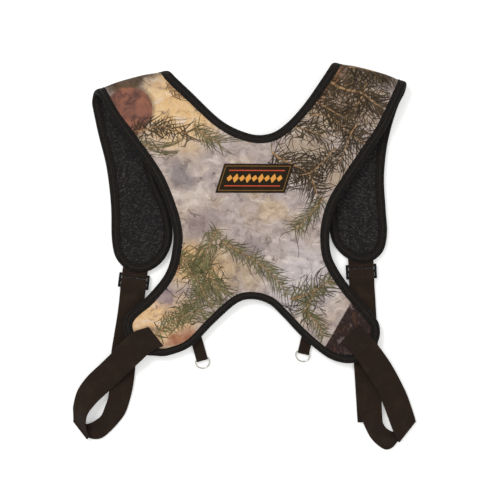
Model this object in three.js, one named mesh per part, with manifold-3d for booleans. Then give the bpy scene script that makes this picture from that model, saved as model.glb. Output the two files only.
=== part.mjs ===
// Binocular shoulder harness, lying flat with its back panel (the yoke) face up.
// Units are millimetres. +X is to the right, +Y towards the neck and +Z up from the table.
// The yoke lies over two front pads. Each shoulder folds over, so that yoke and pad are one strip.
import * as THREE from "three";
import { mergeVertices } from "three/addons/utils/BufferGeometryUtils.js";
import Module from "manifold-3d";

const wasm = await Module();
wasm.setup();

// ---- driving dimensions ----

// The padded sheet: a printed shell, a foam core and a mesh lining, edged with folded tape.
const SHELL = 0.6;
const FOAM = 3.2;
const LINING = 0.8;
const LAYER_GAP = 0.1;
const TAPE = 0.7;
const TAPE_GAP = 0.15;
const SHEET = SHELL + FOAM + LINING + 2 * LAYER_GAP;
const BOUND = SHEET + 2 * (TAPE + TAPE_GAP);
const EDGE_INSET = TAPE + 2 * TAPE_GAP;

// Widths of the edge tape that show on each face.
const NECK_TAPE_WIDTH = 8.5;
const SIDE_TAPE_WIDTH = 9;
const PAD_TAPE_WIDTH = 9;

// Heights of the middle of the sheet above the table.
const PAD_MID = BOUND / 2;
const YOKE_MID = 13.3;
const ARM_MID = 6.7;
const DRAPE_HIGH_Y = 70;
const DRAPE_LOW_Y = -62;

// Webbing and hardware.
const WEB_WIDTH = 25.4;
const WEB = 1.4;
const RING_TAB_WIDTH = 11.6;
const RING_TAB = 0.8;
const RING_WIRE_R = 0.85;
const RING_INSIDE = 12.4;
const RING_DEPTH = 9.4;
const RING_Z = 2.3;
const RING_DROOP = (8 * Math.PI) / 180;
const LOCK_WIDTH = 31;
const LOCK_RAIL = 2.4;
const LOCK_BAR_R = 1.3;
const LOCK_MIDDLE_U = 5.9;
const LOCK_LIP_U = 12;
const LOCK_END = 1.4;
const LOCK_MID_Z = 3.3;
const LOCK_TAB = 0.9;

const GAP = 0.15;

// ---- outlines, as the few points that a smooth curve passes through ----

const NECK = [
  [-85, 194], [-55, 166], [-25, 137.5], [-2, 125], [18, 121.5],
  [37, 129], [60, 153], [88, 194], [96, 207],
];

// From the right shoulder down the armhole, round the right arm, along the lower edge,
// round the left arm and up the left armhole.
const SIDE = [
  [165, 180], [151.5, 149.5], [139.5, 124.5], [122.5, 99.5], [105.5, 74.5], [91.5, 51],
  [85.5, 28], [86, 6], [92, -10], [106.5, -31.5], [131, -60.5],
  [136, -73.5], [134, -86], [126, -98], [114, -105.5],
  [100, -107], [82, -100.5], [57.5, -80.5], [37.5, -59.5], [24, -47.5], [7, -43], [-8.5, -47.5],
  [-31, -67.5], [-53.5, -90], [-76, -99.3],
  [-90, -99.8], [-104, -97.5], [-116, -87], [-121.5, -71], [-117, -57],
  [-97.5, -39.5], [-80, -18], [-72.8, 4], [-72.3, 30], [-85, 68],
  [-100.5, 94.5], [-132.5, 138.5], [-147, 165.5], [-155.5, 181],
];

// Each pad, from the outside of its shoulder round its lower end to the inside.
const PADS = {
  left: [
    [-158.5, 175], [-154.5, 157.5], [-147.5, 124.5], [-139, 90], [-134.5, 52], [-133.5, 16.5],
    [-128.5, -3], [-114.5, -14.8], [-98, -15.2], [-83.5, -6], [-74.5, 9.5], [-72.4, 27],
    [-77.5, 50.5], [-89, 79], [-96.5, 115], [-92, 146], [-76.5, 180.5], [-70, 194],
  ],
  right: [
    [169, 182], [165, 170.5], [154.5, 151], [144.5, 116.5], [140.5, 81.5], [142, 48.5],
    [143.5, 24.5], [140, 6.5], [129.5, -4], [115.5, -6.5], [100.5, 0], [89.5, 12.5],
    [85.2, 28.5], [84.5, 51.5], [87.5, 81.5], [91.5, 121.5], [90.5, 161.5], [87.5, 198],
  ],
};

// Each shoulder folds round a line through a point, in a direction that goes to the right.
// The edges of the strip cross that line at these distances from the point, over and under the fold.
const FOLDS = {
  left: {
    point: [-111.3, 168.2],
    along: [0.9652, 0.2616],
    outer: { over: -34.4, under: -44.6 },
    neck: { over: 42.4, under: 35.2 },
  },
  right: {
    point: [124.3, 176.2],
    along: [0.9652, -0.2616],
    outer: { over: 36.4, under: 40.6 },
    neck: { over: -41.4, under: -36.2 },
  },
};

// ---- plain helpers ----

const smooth = (t) => t * t * (3 - 2 * t);
const clamp01 = (t) => Math.min(1, Math.max(0, t));
const mix = (a, b, t) => a + (b - a) * t;

// Height of the middle of the yoke: level over the shoulders, then down to the arms.
function yokeMid(y) {
  const t = clamp01((DRAPE_HIGH_Y - y) / (DRAPE_HIGH_Y - DRAPE_LOW_Y));
  return mix(YOKE_MID, ARM_MID, smooth(t));
}

const padMid = () => PAD_MID;

// Evenly spaced points and left-hand normals of a curve through the given points.
function sampleCurve(points, count) {
  const curve = new THREE.SplineCurve(points.map(([x, y]) => new THREE.Vector2(x, y)));
  const samples = [];
  for (let i = 0; i <= count; i++) {
    const at = curve.getPointAt(i / count);
    const way = curve.getTangentAt(i / count);
    samples.push({ at, normal: new THREE.Vector2(-way.y, way.x) });
  }
  return samples;
}

// The same curve moved sideways, to the left of its direction when side is 1.
function shifted(samples, distance, side) {
  return samples.map(({ at, normal }) => at.clone().addScaledVector(normal, side * distance));
}

// The part of a closed outline on the inner side of a fold line, short of it by a gap.
function cutAtFold(outline, fold, gap) {
  const normal = new THREE.Vector2(-fold.along[1], fold.along[0]);
  const point = new THREE.Vector2(...fold.point);
  const past = (p) => p.clone().sub(point).dot(normal) + gap;
  const kept = [];
  outline.forEach((p, i) => {
    const q = outline[(i + 1) % outline.length];
    const a = past(p);
    const b = past(q);
    if (a <= 0) {
      kept.push(p);
    }
    if (a < 0 !== b < 0) {
      kept.push(p.clone().lerp(q, a / (a - b)));
    }
  });
  return kept;
}

function solidOf(geometry) {
  geometry.deleteAttribute("normal");
  geometry.deleteAttribute("uv");
  const merged = mergeVertices(geometry, 1e-4);
  const mesh = new wasm.Mesh({
    numProp: 3,
    vertProperties: merged.attributes.position.array,
    triVerts: new Uint32Array(merged.index.array),
  });
  return new wasm.Manifold(mesh);
}

function geometryOf(solid) {
  const mesh = solid.getMesh();
  const geometry = new THREE.BufferGeometry();
  geometry.setAttribute("position", new THREE.BufferAttribute(mesh.vertProperties, 3));
  geometry.setIndex(new THREE.BufferAttribute(mesh.triVerts, 1));
  geometry.computeVertexNormals();
  return geometry;
}

// An upright prism over an outline, tall enough for any layer.
function prism(outline) {
  const shape = new THREE.Shape(outline);
  const geometry = new THREE.ExtrudeGeometry(shape, { depth: 60, bevelEnabled: false });
  geometry.translate(0, 0, -20);
  return solidOf(geometry);
}

// A wide slab from low to high, measured from the middle surface height(y).
function slab(height, low, high, steps) {
  const box = new THREE.BoxGeometry(460, 340, high - low, 1, steps, 1);
  box.translate(0, 50, (low + high) / 2);
  const position = box.attributes.position;
  for (let i = 0; i < position.count; i++) {
    position.setZ(i, position.getZ(i) + height(position.getY(i)));
  }
  return solidOf(box);
}

// A closed skin over rings of points that all have the same number of corners.
function loft(rings) {
  const corners = rings[0].length;
  const positions = rings.flat().flatMap((p) => [p.x, p.y, p.z]);
  const index = [];
  for (let i = 0; i + 1 < rings.length; i++) {
    for (let j = 0; j < corners; j++) {
      const k = (j + 1) % corners;
      const a = i * corners + j;
      const b = i * corners + k;
      index.push(a, b, b + corners, a, b + corners, a + corners);
    }
  }
  const first = rings[0];
  const x = first[1].clone().sub(first[0]).normalize();
  const z = new THREE.Vector3();
  const fromCorner = first.map((p) => p.clone().sub(first[0]));
  fromCorner.forEach((p, j) => z.add(p.clone().cross(fromCorner[(j + 1) % corners])));
  z.normalize();
  const y = z.clone().cross(x);
  const flat = fromCorner.map((p) => new THREE.Vector2(p.dot(x), p.dot(y)));
  const last = (rings.length - 1) * corners;
  for (const [a, b, c] of THREE.ShapeUtils.triangulateShape(flat, [])) {
    index.push(a, c, b);
    index.push(last + a, last + b, last + c);
  }
  const geometry = new THREE.BufferGeometry();
  geometry.setAttribute("position", new THREE.Float32BufferAttribute(positions, 3));
  geometry.setIndex(index);
  geometry.computeVertexNormals();
  return geometry;
}

// A solid whose faces point out, whichever way its rings were drawn.
function facingOut(geometry) {
  const solid = solidOf(geometry.clone());
  if (solid.volume() > 0) {
    return geometry;
  }
  const index = geometry.index.array;
  for (let i = 0; i < index.length; i += 3) {
    const b = index[i + 1];
    index[i + 1] = index[i + 2];
    index[i + 2] = b;
  }
  geometry.computeVertexNormals();
  return geometry;
}

// ---- materials ----

const finish = (color, roughness, metalness = 0) =>
  new THREE.MeshStandardMaterial({ color, roughness, metalness });

const PRINTED = finish(0xb9aea6, 0.9);
const FOAM_CORE = finish(0x3a3c3e, 0.95);
const MESH_LINING = finish(0x2b2d31, 0.95);
const EDGE_TAPE = finish(0x231f1c, 0.85);
const WEBBING = finish(0x2a211c, 0.85);
const LABEL = finish(0x2a2111, 0.8);
const PLATED = finish(0xd8d6d0, 0.25, 1);
const MOULDED = finish(0x151413, 0.45);

const harness = new THREE.Group();

function add(name, geometry, material) {
  const mesh = new THREE.Mesh(geometry, material);
  mesh.name = name;
  harness.add(mesh);
  return mesh;
}

// ---- the padded sheets ----

// Heights of the three layers from the middle surface, for a sheet whose shell faces up (+1) or down (-1).
function layers(up) {
  const top = SHEET / 2;
  const faces = {
    shell: [top - SHELL, top],
    foam: [-top + LINING + LAYER_GAP, top - SHELL - LAYER_GAP],
    lining: [-top, -top + LINING],
  };
  if (up > 0) {
    return faces;
  }
  return Object.fromEntries(Object.entries(faces).map(([k, [a, b]]) => [k, [-b, -a]]));
}

const SHEET_MATERIALS = { shell: PRINTED, foam: FOAM_CORE, lining: MESH_LINING };

function addSheet(prefix, outline, height, up, steps, slit) {
  const body = prism(outline);
  for (const [layer, [low, high]] of Object.entries(layers(up))) {
    let solid = body.intersect(slab(height, low, high, steps));
    if (slit) {
      solid = solid.subtract(slit);
    }
    add(`${prefix}_${layer}`, geometryOf(solid), SHEET_MATERIALS[layer]);
  }
}

// Tape folded over an edge: a band on both faces, with the sheet's edge inside it.
function boundEdge(band, sheetOutline, height, steps) {
  const outside = prism(band).intersect(slab(height, -BOUND / 2, BOUND / 2, steps));
  const reach = SHEET / 2 + TAPE_GAP;
  const inside = prism(sheetOutline).intersect(slab(height, -reach, reach, steps));
  return outside.subtract(inside);
}

// ---- the yoke ----

const YOKE_STEPS = 22;
const neckCurve = sampleCurve(NECK, 40);
const sideCurve = sampleCurve(SIDE, 116);

const cutAtBothFolds = (outline, gap) =>
  cutAtFold(cutAtFold(outline, FOLDS.left, gap), FOLDS.right, gap);

// The yoke lies to the right of both curves' directions.
function yokeOutline(inset, gap) {
  const outline = [...shifted(neckCurve, inset, -1), ...shifted(sideCurve, inset, -1)];
  return cutAtBothFolds(outline, gap);
}

function yokeBand(curve, width) {
  const band = [...shifted(curve, 0, -1), ...shifted(curve, width, -1).reverse()];
  return cutAtBothFolds(band, GAP);
}

addSheet("yoke", yokeOutline(EDGE_INSET, GAP), yokeMid, 1, YOKE_STEPS);
const yokeSlot = yokeOutline(EDGE_INSET - TAPE_GAP, -1);
for (const [name, curve, width] of [
  ["neck_binding", neckCurve, NECK_TAPE_WIDTH],
  ["side_binding", sideCurve, SIDE_TAPE_WIDTH],
]) {
  const binding = boundEdge(yokeBand(curve, width), yokeSlot, yokeMid, YOKE_STEPS);
  add(name, geometryOf(binding), EDGE_TAPE);
}

// The woven label: a slanted oblong on the middle of the yoke.
const LABEL_CORNERS = [[-29.2, 63.6], [40.1, 63.4], [49.4, 92.3], [-20.1, 92.7]];
const LABEL_BASE = YOKE_MID + SHEET / 2 + GAP;
const LABEL_THICK = 0.9;
const labelShape = new THREE.Shape(LABEL_CORNERS.map(([x, y]) => new THREE.Vector2(x, y)));
const labelGeometry = new THREE.ExtrudeGeometry(labelShape, { depth: LABEL_THICK, bevelEnabled: false });
labelGeometry.translate(0, 0, LABEL_BASE);
add("label_patch", labelGeometry, LABEL);

// ---- the shoulder folds ----

const FOLD_STEPS = 10;
const FOLD_COLUMNS = 8;
const FOLD_INSET = EDGE_INSET + 0.6;
const FOLD_R = (YOKE_MID - PAD_MID) / 2;
const FOLD_Z = (YOKE_MID + PAD_MID) / 2;
// The crest bows out a little in the middle of its width.
const FOLD_BULGE = 3;
const FOLD_HALF = 44;

// A point of the folded strip: t along the fold line, turn from 0 (over) to 1 (under),
// and r outwards from the middle surface.
function foldPoint(fold, t, turn, r) {
  const angle = Math.PI * turn;
  const bulge = FOLD_BULGE * (1 - (t / FOLD_HALF) ** 2);
  const out = Math.sin(angle) * (FOLD_R + r + bulge);
  return new THREE.Vector3(
    fold.point[0] + t * fold.along[0] - out * fold.along[1],
    fold.point[1] + t * fold.along[1] + out * fold.along[0],
    FOLD_Z + Math.cos(angle) * (FOLD_R + r),
  );
}

const edgeAt = (edge, turn) => mix(edge.over, edge.under, smooth(turn));

// A strip round the fold: corners are [t, r] pairs measured from one edge of the strip, or from both.
function foldStrip(fold, cornersAt) {
  const rings = [];
  for (let i = 0; i <= FOLD_STEPS; i++) {
    const turn = i / FOLD_STEPS;
    rings.push(cornersAt(turn).map(([t, r]) => foldPoint(fold, t, turn, r)));
  }
  return facingOut(loft(rings));
}

for (const side of ["left", "right"]) {
  const fold = FOLDS[side];
  const toNeck = Math.sign(fold.neck.over - fold.outer.over);
  for (const [layer, [low, high]] of Object.entries(layers(1))) {
    const strip = foldStrip(fold, (turn) => {
      const a = edgeAt(fold.outer, turn) + toNeck * FOLD_INSET;
      const b = edgeAt(fold.neck, turn) - toNeck * FOLD_INSET;
      const columns = Array.from({ length: FOLD_COLUMNS + 1 }, (_, i) => mix(a, b, i / FOLD_COLUMNS));
      return [...columns.map((t) => [t, low]), ...columns.reverse().map((t) => [t, high])];
    });
    add(`${side}_fold_${layer}`, strip, SHEET_MATERIALS[layer]);
  }
  const slot = SHEET / 2 + TAPE_GAP;
  const face = BOUND / 2;
  for (const edge of ["outer", "neck"]) {
    const inward = edge === "outer" ? toNeck : -toNeck;
    const strip = foldStrip(fold, (turn) => {
      const t = edgeAt(fold[edge], turn);
      const floor = t + inward * TAPE;
      const lip = t + inward * SIDE_TAPE_WIDTH;
      const middle = (floor + lip) / 2;
      const under = [[t, -face], [middle, -face], [lip, -face], [lip, -slot], [middle, -slot], [floor, -slot]];
      return [...under, ...under.map(([at, r]) => [at, -r]).reverse()];
    });
    add(`${side}_fold_${edge}_binding`, strip, EDGE_TAPE);
  }
}

// ---- ladder locks and their tabs ----

// The middle of each lock's sewn bar, and the way the strap runs down from it.
const LOCKS = {
  left: { at: [-110.6, -18.9], down: [-0.12, -0.99277] },
  right: { at: [117.2, -9.3], down: [0.05, -0.99875] },
};
const LOCK_TONGUE = 14;

// Turns a point of a side view (u down the strap, z up, v across) into the harness's frame.
function placed(spot, u, v, z) {
  const [dx, dy] = spot.down;
  return new THREE.Vector3(spot.at[0] + u * dx - v * dy, spot.at[1] + u * dy + v * dx, z);
}

// An outline in the side view, given width from low to high across the strap.
function sideView(outline, holes, low, high, spot) {
  const shape = new THREE.Shape(outline);
  holes.forEach((hole) => shape.holes.push(new THREE.Path(hole)));
  const geometry = new THREE.ExtrudeGeometry(shape, { depth: high - low, bevelEnabled: false });
  const position = geometry.attributes.position;
  for (let i = 0; i < position.count; i++) {
    const p = placed(spot, position.getX(i), position.getZ(i) + low, position.getY(i));
    position.setXYZ(i, p.x, p.y, p.z);
  }
  geometry.deleteAttribute("normal");
  geometry.deleteAttribute("uv");
  return facingOut(mergeVertices(geometry, 1e-4));
}

function circle(u, z, r, steps) {
  return Array.from({ length: steps }, (_, i) => {
    const angle = (2 * Math.PI * i) / steps;
    return new THREE.Vector2(u + r * Math.cos(angle), z + r * Math.sin(angle));
  });
}

// Webbing folded round a bar at u = 0: a loop, and a tongue of two layers up to u = -length.
function tabShape(spot, length, z, barR, layer, width) {
  const loopR = barR + GAP + layer;
  const open = Math.asin(layer / loopR);
  const steps = 12;
  const outline = [];
  for (let i = 0; i <= steps; i++) {
    const angle = Math.PI - open - ((2 * Math.PI - 2 * open) * i) / steps;
    outline.push(new THREE.Vector2(loopR * Math.cos(angle), z + loopR * Math.sin(angle)));
  }
  outline.push(new THREE.Vector2(-length, z - layer), new THREE.Vector2(-length, z + layer));
  return sideView(outline, [circle(0, z, barR + GAP, steps)], -width / 2, width / 2, spot);
}

function sideBox(spot, u0, u1, v0, v1, z0, z1) {
  const corners = [[u0, z0], [u1, z0], [u1, z1], [u0, z1]];
  return sideView(corners.map(([u, z]) => new THREE.Vector2(u, z)), [], v0, v1, spot);
}

for (const side of ["left", "right"]) {
  const lock = LOCKS[side];
  const half = LOCK_WIDTH / 2;
  const railHalf = LOCK_BAR_R + 0.2;
  let frame = null;
  for (const u of [0, LOCK_MIDDLE_U, LOCK_LIP_U]) {
    const outline = circle(u, LOCK_MID_Z, LOCK_BAR_R, 12);
    const bar = solidOf(sideView(outline, [], 0.5 - half, half - 0.5, lock));
    frame = frame ? frame.add(bar) : bar;
  }
  for (const v of [-half, half - LOCK_RAIL]) {
    const low = LOCK_MID_Z - railHalf;
    const high = LOCK_MID_Z + railHalf;
    const rail = sideBox(lock, -LOCK_END, LOCK_LIP_U + LOCK_END, v, v + LOCK_RAIL, low, high);
    frame = frame.add(solidOf(rail));
  }
  add(`${side}_ladder_lock`, geometryOf(frame), MOULDED);
  add(`${side}_lock_tab`, tabShape(lock, LOCK_TONGUE, LOCK_MID_Z, LOCK_BAR_R, LOCK_TAB, WEB_WIDTH), WEBBING);
}

// ---- the front pads ----

function padOutline(curve, side, inset, gap) {
  const inward = side === "left" ? 1 : -1;
  return cutAtFold(shifted(curve, inset, inward), FOLDS[side], gap);
}

for (const side of ["left", "right"]) {
  const curve = sampleCurve(PADS[side], 76);
  const inward = side === "left" ? 1 : -1;
  const tongueHalf = WEB_WIDTH / 2 + GAP;
  const [low, high] = [LOCK_MID_Z - LOCK_TAB - GAP, LOCK_MID_Z + LOCK_TAB + GAP];
  const slit = solidOf(sideBox(LOCKS[side], -LOCK_TONGUE - GAP, 0, -tongueHalf, tongueHalf, low, high));
  addSheet(`${side}_pad`, padOutline(curve, side, EDGE_INSET, GAP), padMid, -1, 1, slit);
  const slot = padOutline(curve, side, EDGE_INSET - TAPE_GAP, -1);
  const ring = [...shifted(curve, 0, inward), ...shifted(curve, PAD_TAPE_WIDTH, inward).reverse()];
  const band = cutAtFold(ring, FOLDS[side], GAP);
  add(`${side}_pad_binding`, geometryOf(boundEdge(band, slot, padMid, 1).subtract(slit)), EDGE_TAPE);
}

// ---- the adjuster straps ----

// Where the webbing runs, from its sewn end on the arm to the crease of its loop.
// Each row is [outer x, y, z, inner x, y, z] of the two edges.
const UPPER_RUNS = {
  left: [
    [-96, -70.5, 10.9, -81, -89.5, 10.9],
    [-110.9, -75.5, 10.9, -93.5, -95.5, 10.9],
    [-122.5, -85.5, 10.9, -103.5, -104.5, 10.9],
    [-134.5, -98, 8.2, -116.5, -116.5, 8.2],
    [-146.5, -109.5, 5.2, -129, -128.5, 5.6],
    [-158.5, -121, 3.6, -141.2, -140, 6.2],
    [-168, -134.5, 2.8, -150.4, -149, 9],
    [-172.2, -149.5, 2.6, -157.4, -159, 12],
    [-172.3, -158.5, 2.6, -158.8, -169.5, 10.5],
    [-172.1, -164, 2.4, -156.6, -181, 6],
  ],
  right: [
    [115.5, -68.5, 10.9, 97, -85.2, 10.9],
    [132.2, -87, 10.9, 113.3, -104, 10.9],
    [141.5, -99.5, 10.4, 120.5, -114.5, 10.4],
    [148.5, -110, 7.8, 126, -122.5, 7.8],
    [157, -125.5, 5.2, 134, -136, 5.4],
    [163.5, -139, 4, 139, -148, 5.6],
    [168, -151.5, 3.4, 144, -161.5, 6],
    [171.6, -162.5, 2.8, 149.5, -176, 5.4],
    [171.9, -164.5, 2.6, 154.6, -185.6, 3.6],
  ],
};

// From the crease back to the lock: [inner x, y, z, outer x, y, z].
const RETURN_RUNS = {
  left: [
    [-172.1, -165.6, 0.9, -155.9, -183.2, 1],
    [-164.5, -168.5, 1.4, -150.5, -184.2, 0.9],
    [-156.5, -168, 3.8, -143.5, -182.8, 0.9],
    [-149, -164, 6.4, -135.5, -176.5, 0.9],
    [-143.5, -159.2, 8, -127.5, -168, 0.9],
    [-140, -150.5, 7.4, -120, -157.5, 0.9],
    [-137.3, -142, 5.4, -115.2, -143.5, 1.2],
    [-135.8, -129.5, 3.4, -112.2, -130.5, 2.2],
    [-135.2, -113.5, 2.4, -110, -113.5, 2.4],
    [-134.5, -98.5, 2.4, -109, -97, 2.4],
    [-130.2, -71.5, 2.4, -104.8, -68, 2.4],
    [-127, -52, 2.4, -101.8, -48.5, 2.4],
  ],
  right: [
    [171.9, -165.3, 0.9, 154.2, -186.6, 0.9],
    [160.5, -172.5, 0.9, 148.5, -193, 0.9],
    [151.5, -176.5, 1.2, 141.5, -194.5, 0.9],
    [144.5, -174, 4, 133.5, -189.5, 0.9],
    [140, -169, 6.4, 126.5, -181.8, 0.9],
    [137.5, -161, 7, 120.3, -169.5, 2.2],
    [137.8, -151.5, 5.6, 116, -157.5, 2.4],
    [138, -139.5, 3.2, 113, -144.5, 2.4],
    [136.8, -123.5, 2.4, 111.4, -126.5, 2.4],
    [135.3, -105.5, 2.4, 109.9, -106.5, 2.4],
    [133.5, -73.5, 2.4, 108.1, -74.5, 2.4],
    [131.8, -43, 2.4, 106.4, -44, 2.4],
  ],
};

// The far ends of the tails, which lie under the return runs: [inner x, y, outer x, y].
const TAIL_ENDS = {
  left: [-136.6, -122, -111.4, -121],
  right: [139.3, -167.2, 113.9, -167.2],
};
const TAIL_Z = 0.85;

// Where the strap is threaded, as [u, z] in the side view: over the lip and the middle bar,
// round that bar, and back underneath.
const OVER_LOCK = [[23, 2.4], [19, 2.8], [15.5, 4.3], [LOCK_LIP_U, 5.5], [LOCK_MIDDLE_U + 3, 5.5]];
const UNDER_LOCK = [[LOCK_MIDDLE_U + 4, 1.1], [19, TAIL_Z], [34, TAIL_Z]];
const BAR_TURN_R = LOCK_BAR_R + GAP + WEB / 2;
const BAR_TURN_STEPS = 6;
const CREASE_STEPS = 4;

const UP = new THREE.Vector3(0, 0, 1);

// Sections of webbing from rows of edge points, with the face vector pointing up (1) or down (-1).
function sectionsOfRun(rows, facing) {
  const edges = rows.map(([ax, ay, az, bx, by, bz]) => ({
    a: new THREE.Vector3(ax, ay, az),
    b: new THREE.Vector3(bx, by, bz),
  }));
  return edges.map(({ a, b }, i) => {
    const before = edges[Math.max(i - 1, 0)];
    const after = edges[Math.min(i + 1, edges.length - 1)];
    const run = after.a.clone().add(after.b).sub(before.a).sub(before.b);
    const face = b.clone().sub(a).cross(run).normalize();
    if (face.z * facing < 0) {
      face.negate();
    }
    return { a, b, face };
  });
}

// The webbing turns over its crease, from the last section of one run to the first of the next.
function sectionsOfCrease(from, to) {
  const across = from.b.clone().sub(from.a).setZ(0).normalize();
  const out = new THREE.Vector3(across.y, -across.x, 0);
  if (out.y > 0) {
    out.negate();
  }
  const sections = [];
  for (let i = 1; i < CREASE_STEPS; i++) {
    const angle = (Math.PI * i) / CREASE_STEPS;
    const face = out.clone().multiplyScalar(Math.sin(angle)).addScaledVector(UP, Math.cos(angle));
    const turned = (p, q) => p.clone().lerp(q, 0.5).addScaledVector(face, Math.abs(p.z - q.z) / 2);
    sections.push({ a: turned(from.a, to.a), b: turned(from.b, to.b), face });
  }
  return sections;
}

// The threaded stretch: a is at v = -half on the left and +half on the right.
function sectionsOfLock(lock, half) {
  const path = [...OVER_LOCK];
  for (let i = 0; i <= BAR_TURN_STEPS; i++) {
    const angle = Math.PI / 2 + (Math.PI * i) / BAR_TURN_STEPS;
    const u = LOCK_MIDDLE_U + BAR_TURN_R * Math.cos(angle);
    path.push([u, LOCK_MID_Z + BAR_TURN_R * Math.sin(angle)]);
  }
  path.push(...UNDER_LOCK);
  return path.map(([u, z], i) => {
    const [u0, z0] = path[Math.max(i - 1, 0)];
    const [u1, z1] = path[Math.min(i + 1, path.length - 1)];
    const length = Math.hypot(u1 - u0, z1 - z0);
    const faceU = -(z1 - z0) / length;
    const faceZ = (u1 - u0) / length;
    const face = new THREE.Vector3(faceU * lock.down[0], faceU * lock.down[1], faceZ);
    return { a: placed(lock, u, -half, z), b: placed(lock, u, half, z), face };
  });
}

for (const side of ["left", "right"]) {
  const upper = sectionsOfRun(UPPER_RUNS[side], 1);
  const back = sectionsOfRun(RETURN_RUNS[side], -1);
  const crease = sectionsOfCrease(upper.at(-1), back[0]);
  const half = side === "left" ? WEB_WIDTH / 2 : -WEB_WIDTH / 2;
  const threaded = sectionsOfLock(LOCKS[side], half);
  const [ax, ay, bx, by] = TAIL_ENDS[side];
  const end = {
    a: new THREE.Vector3(ax, ay, TAIL_Z),
    b: new THREE.Vector3(bx, by, TAIL_Z),
    face: UP.clone(),
  };
  const sections = [...upper, ...crease, ...back, ...threaded, end];
  const rings = sections.map(({ a, b, face }) => {
    const lift = face.clone().multiplyScalar(WEB / 2);
    return [a.clone().sub(lift), b.clone().sub(lift), b.clone().add(lift), a.clone().add(lift)];
  });
  add(`${side}_adjuster_strap`, facingOut(loft(rings)), WEBBING);
}

// ---- the D-rings and their tabs ----

// The middle of each ring's bar, and the way the tab runs down to it.
const RINGS = {
  left: { at: [-42.9, -103.4], down: [0.27, -0.9629], tongue: 28 },
  right: { at: [59.4, -96.6], down: [-0.23, -0.9732], tongue: 22 },
};

// The middle line of a D-ring in its own plane: u away from the bar, v along it.
function ringLine() {
  const half = RING_INSIDE / 2 + RING_WIRE_R;
  const corner = 1.2;
  const straight = 3;
  const line = new THREE.Path();
  line.moveTo(-half + corner, 0);
  line.lineTo(half - corner, 0);
  line.quadraticCurveTo(half, 0, half, corner);
  line.lineTo(half, straight);
  line.absellipse(0, straight, half, RING_DEPTH - straight, 0, Math.PI);
  line.lineTo(-half, corner);
  line.quadraticCurveTo(-half, 0, -half + corner, 0);
  return line.getSpacedPoints(44).slice(0, -1);
}

function dRing(ring) {
  const sides = 8;
  const line = ringLine();
  const positions = [];
  const index = [];
  line.forEach((p, i) => {
    const before = line[(i + line.length - 1) % line.length];
    const after = line[(i + 1) % line.length];
    const way = after.clone().sub(before).normalize();
    const outward = new THREE.Vector2(way.y, -way.x);
    for (let j = 0; j < sides; j++) {
      const angle = (2 * Math.PI * j) / sides;
      const v = p.x + RING_WIRE_R * Math.cos(angle) * outward.x;
      const u = p.y + RING_WIRE_R * Math.cos(angle) * outward.y;
      const z = RING_WIRE_R * Math.sin(angle);
      const droopU = u * Math.cos(RING_DROOP) - z * Math.sin(RING_DROOP);
      const droopZ = RING_Z - u * Math.sin(RING_DROOP) + z * Math.cos(RING_DROOP);
      const q = placed(ring, droopU, v, droopZ);
      positions.push(q.x, q.y, q.z);
      const a = i * sides + j;
      const b = i * sides + ((j + 1) % sides);
      const step = i + 1 < line.length ? sides : -i * sides;
      index.push(a, b, b + step, a, b + step, a + step);
    }
  });
  const geometry = new THREE.BufferGeometry();
  geometry.setAttribute("position", new THREE.Float32BufferAttribute(positions, 3));
  geometry.setIndex(index);
  geometry.computeVertexNormals();
  return facingOut(geometry);
}

for (const side of ["left", "right"]) {
  const ring = RINGS[side];
  const tab = tabShape(ring, ring.tongue, RING_Z, RING_WIRE_R, RING_TAB, RING_TAB_WIDTH);
  add(`${side}_ring_tab`, tab, WEBBING);
  add(`${side}_d_ring`, dRing(ring), PLATED);
}

export default harness;
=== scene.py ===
import math

import bpy
import numpy as np
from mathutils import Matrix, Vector, noise
from mathutils.geometry import delaunay_2d_cdt


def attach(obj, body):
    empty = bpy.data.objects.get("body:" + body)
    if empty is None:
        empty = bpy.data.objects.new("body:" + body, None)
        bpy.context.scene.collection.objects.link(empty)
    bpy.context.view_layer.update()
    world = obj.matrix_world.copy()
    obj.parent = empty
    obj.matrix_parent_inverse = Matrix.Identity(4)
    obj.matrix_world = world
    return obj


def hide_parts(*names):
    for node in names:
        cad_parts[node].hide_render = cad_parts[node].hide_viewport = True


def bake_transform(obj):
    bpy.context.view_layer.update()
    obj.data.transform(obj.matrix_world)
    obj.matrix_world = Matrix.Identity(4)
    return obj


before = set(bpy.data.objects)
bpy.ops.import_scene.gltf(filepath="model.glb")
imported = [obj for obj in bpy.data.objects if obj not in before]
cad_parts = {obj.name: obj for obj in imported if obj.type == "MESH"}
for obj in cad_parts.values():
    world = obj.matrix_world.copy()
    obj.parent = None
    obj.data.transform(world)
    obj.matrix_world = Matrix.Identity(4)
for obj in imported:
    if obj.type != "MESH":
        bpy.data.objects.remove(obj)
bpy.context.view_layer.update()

MM = 0.001

# ---- driving dimensions, the same as the CAD's ----

SHEET = 4.8  # thickness of the whole laminate
EDGE_INSET = 1.0  # how far inside the tape's edge the laminate stops
SHELL = 0.6
LINING = 0.8

PAD_MID = 3.25  # height of the middle of the pads
YOKE_MID = 13.3  # of the yoke at the shoulders
ARM_MID = 6.7  # and of its lower arms
DRAPE_HIGH_Y = 70
DRAPE_LOW_Y = -62

FOLD_R = (YOKE_MID - PAD_MID) / 2
FOLD_Z = (YOKE_MID + PAD_MID) / 2
FOLD_BULGE = 3
FOLD_HALF = 44
TURN = math.pi * FOLD_R  # length of the turn, on the sheet's middle

WEB_WIDTH = 25.4
WEB = 1.4
GAP = 0.15

RING_TAB_WIDTH = 11.6
RING_TAB = 0.8
RING_WIRE_R = 0.85
RING_INSIDE = 12.4
RING_DEPTH = 9.4
RING_Z = 2.3
RING_DROOP = math.radians(8)

LOCK_WIDTH = 31
LOCK_RAIL = 2.4
LOCK_BAR_R = 1.3
LOCK_MIDDLE_U = 5.9
LOCK_LIP_U = 12
LOCK_END = 1.4
LOCK_MID_Z = 3.3
LOCK_TAB = 0.9
LOCK_TONGUE = 14

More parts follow.
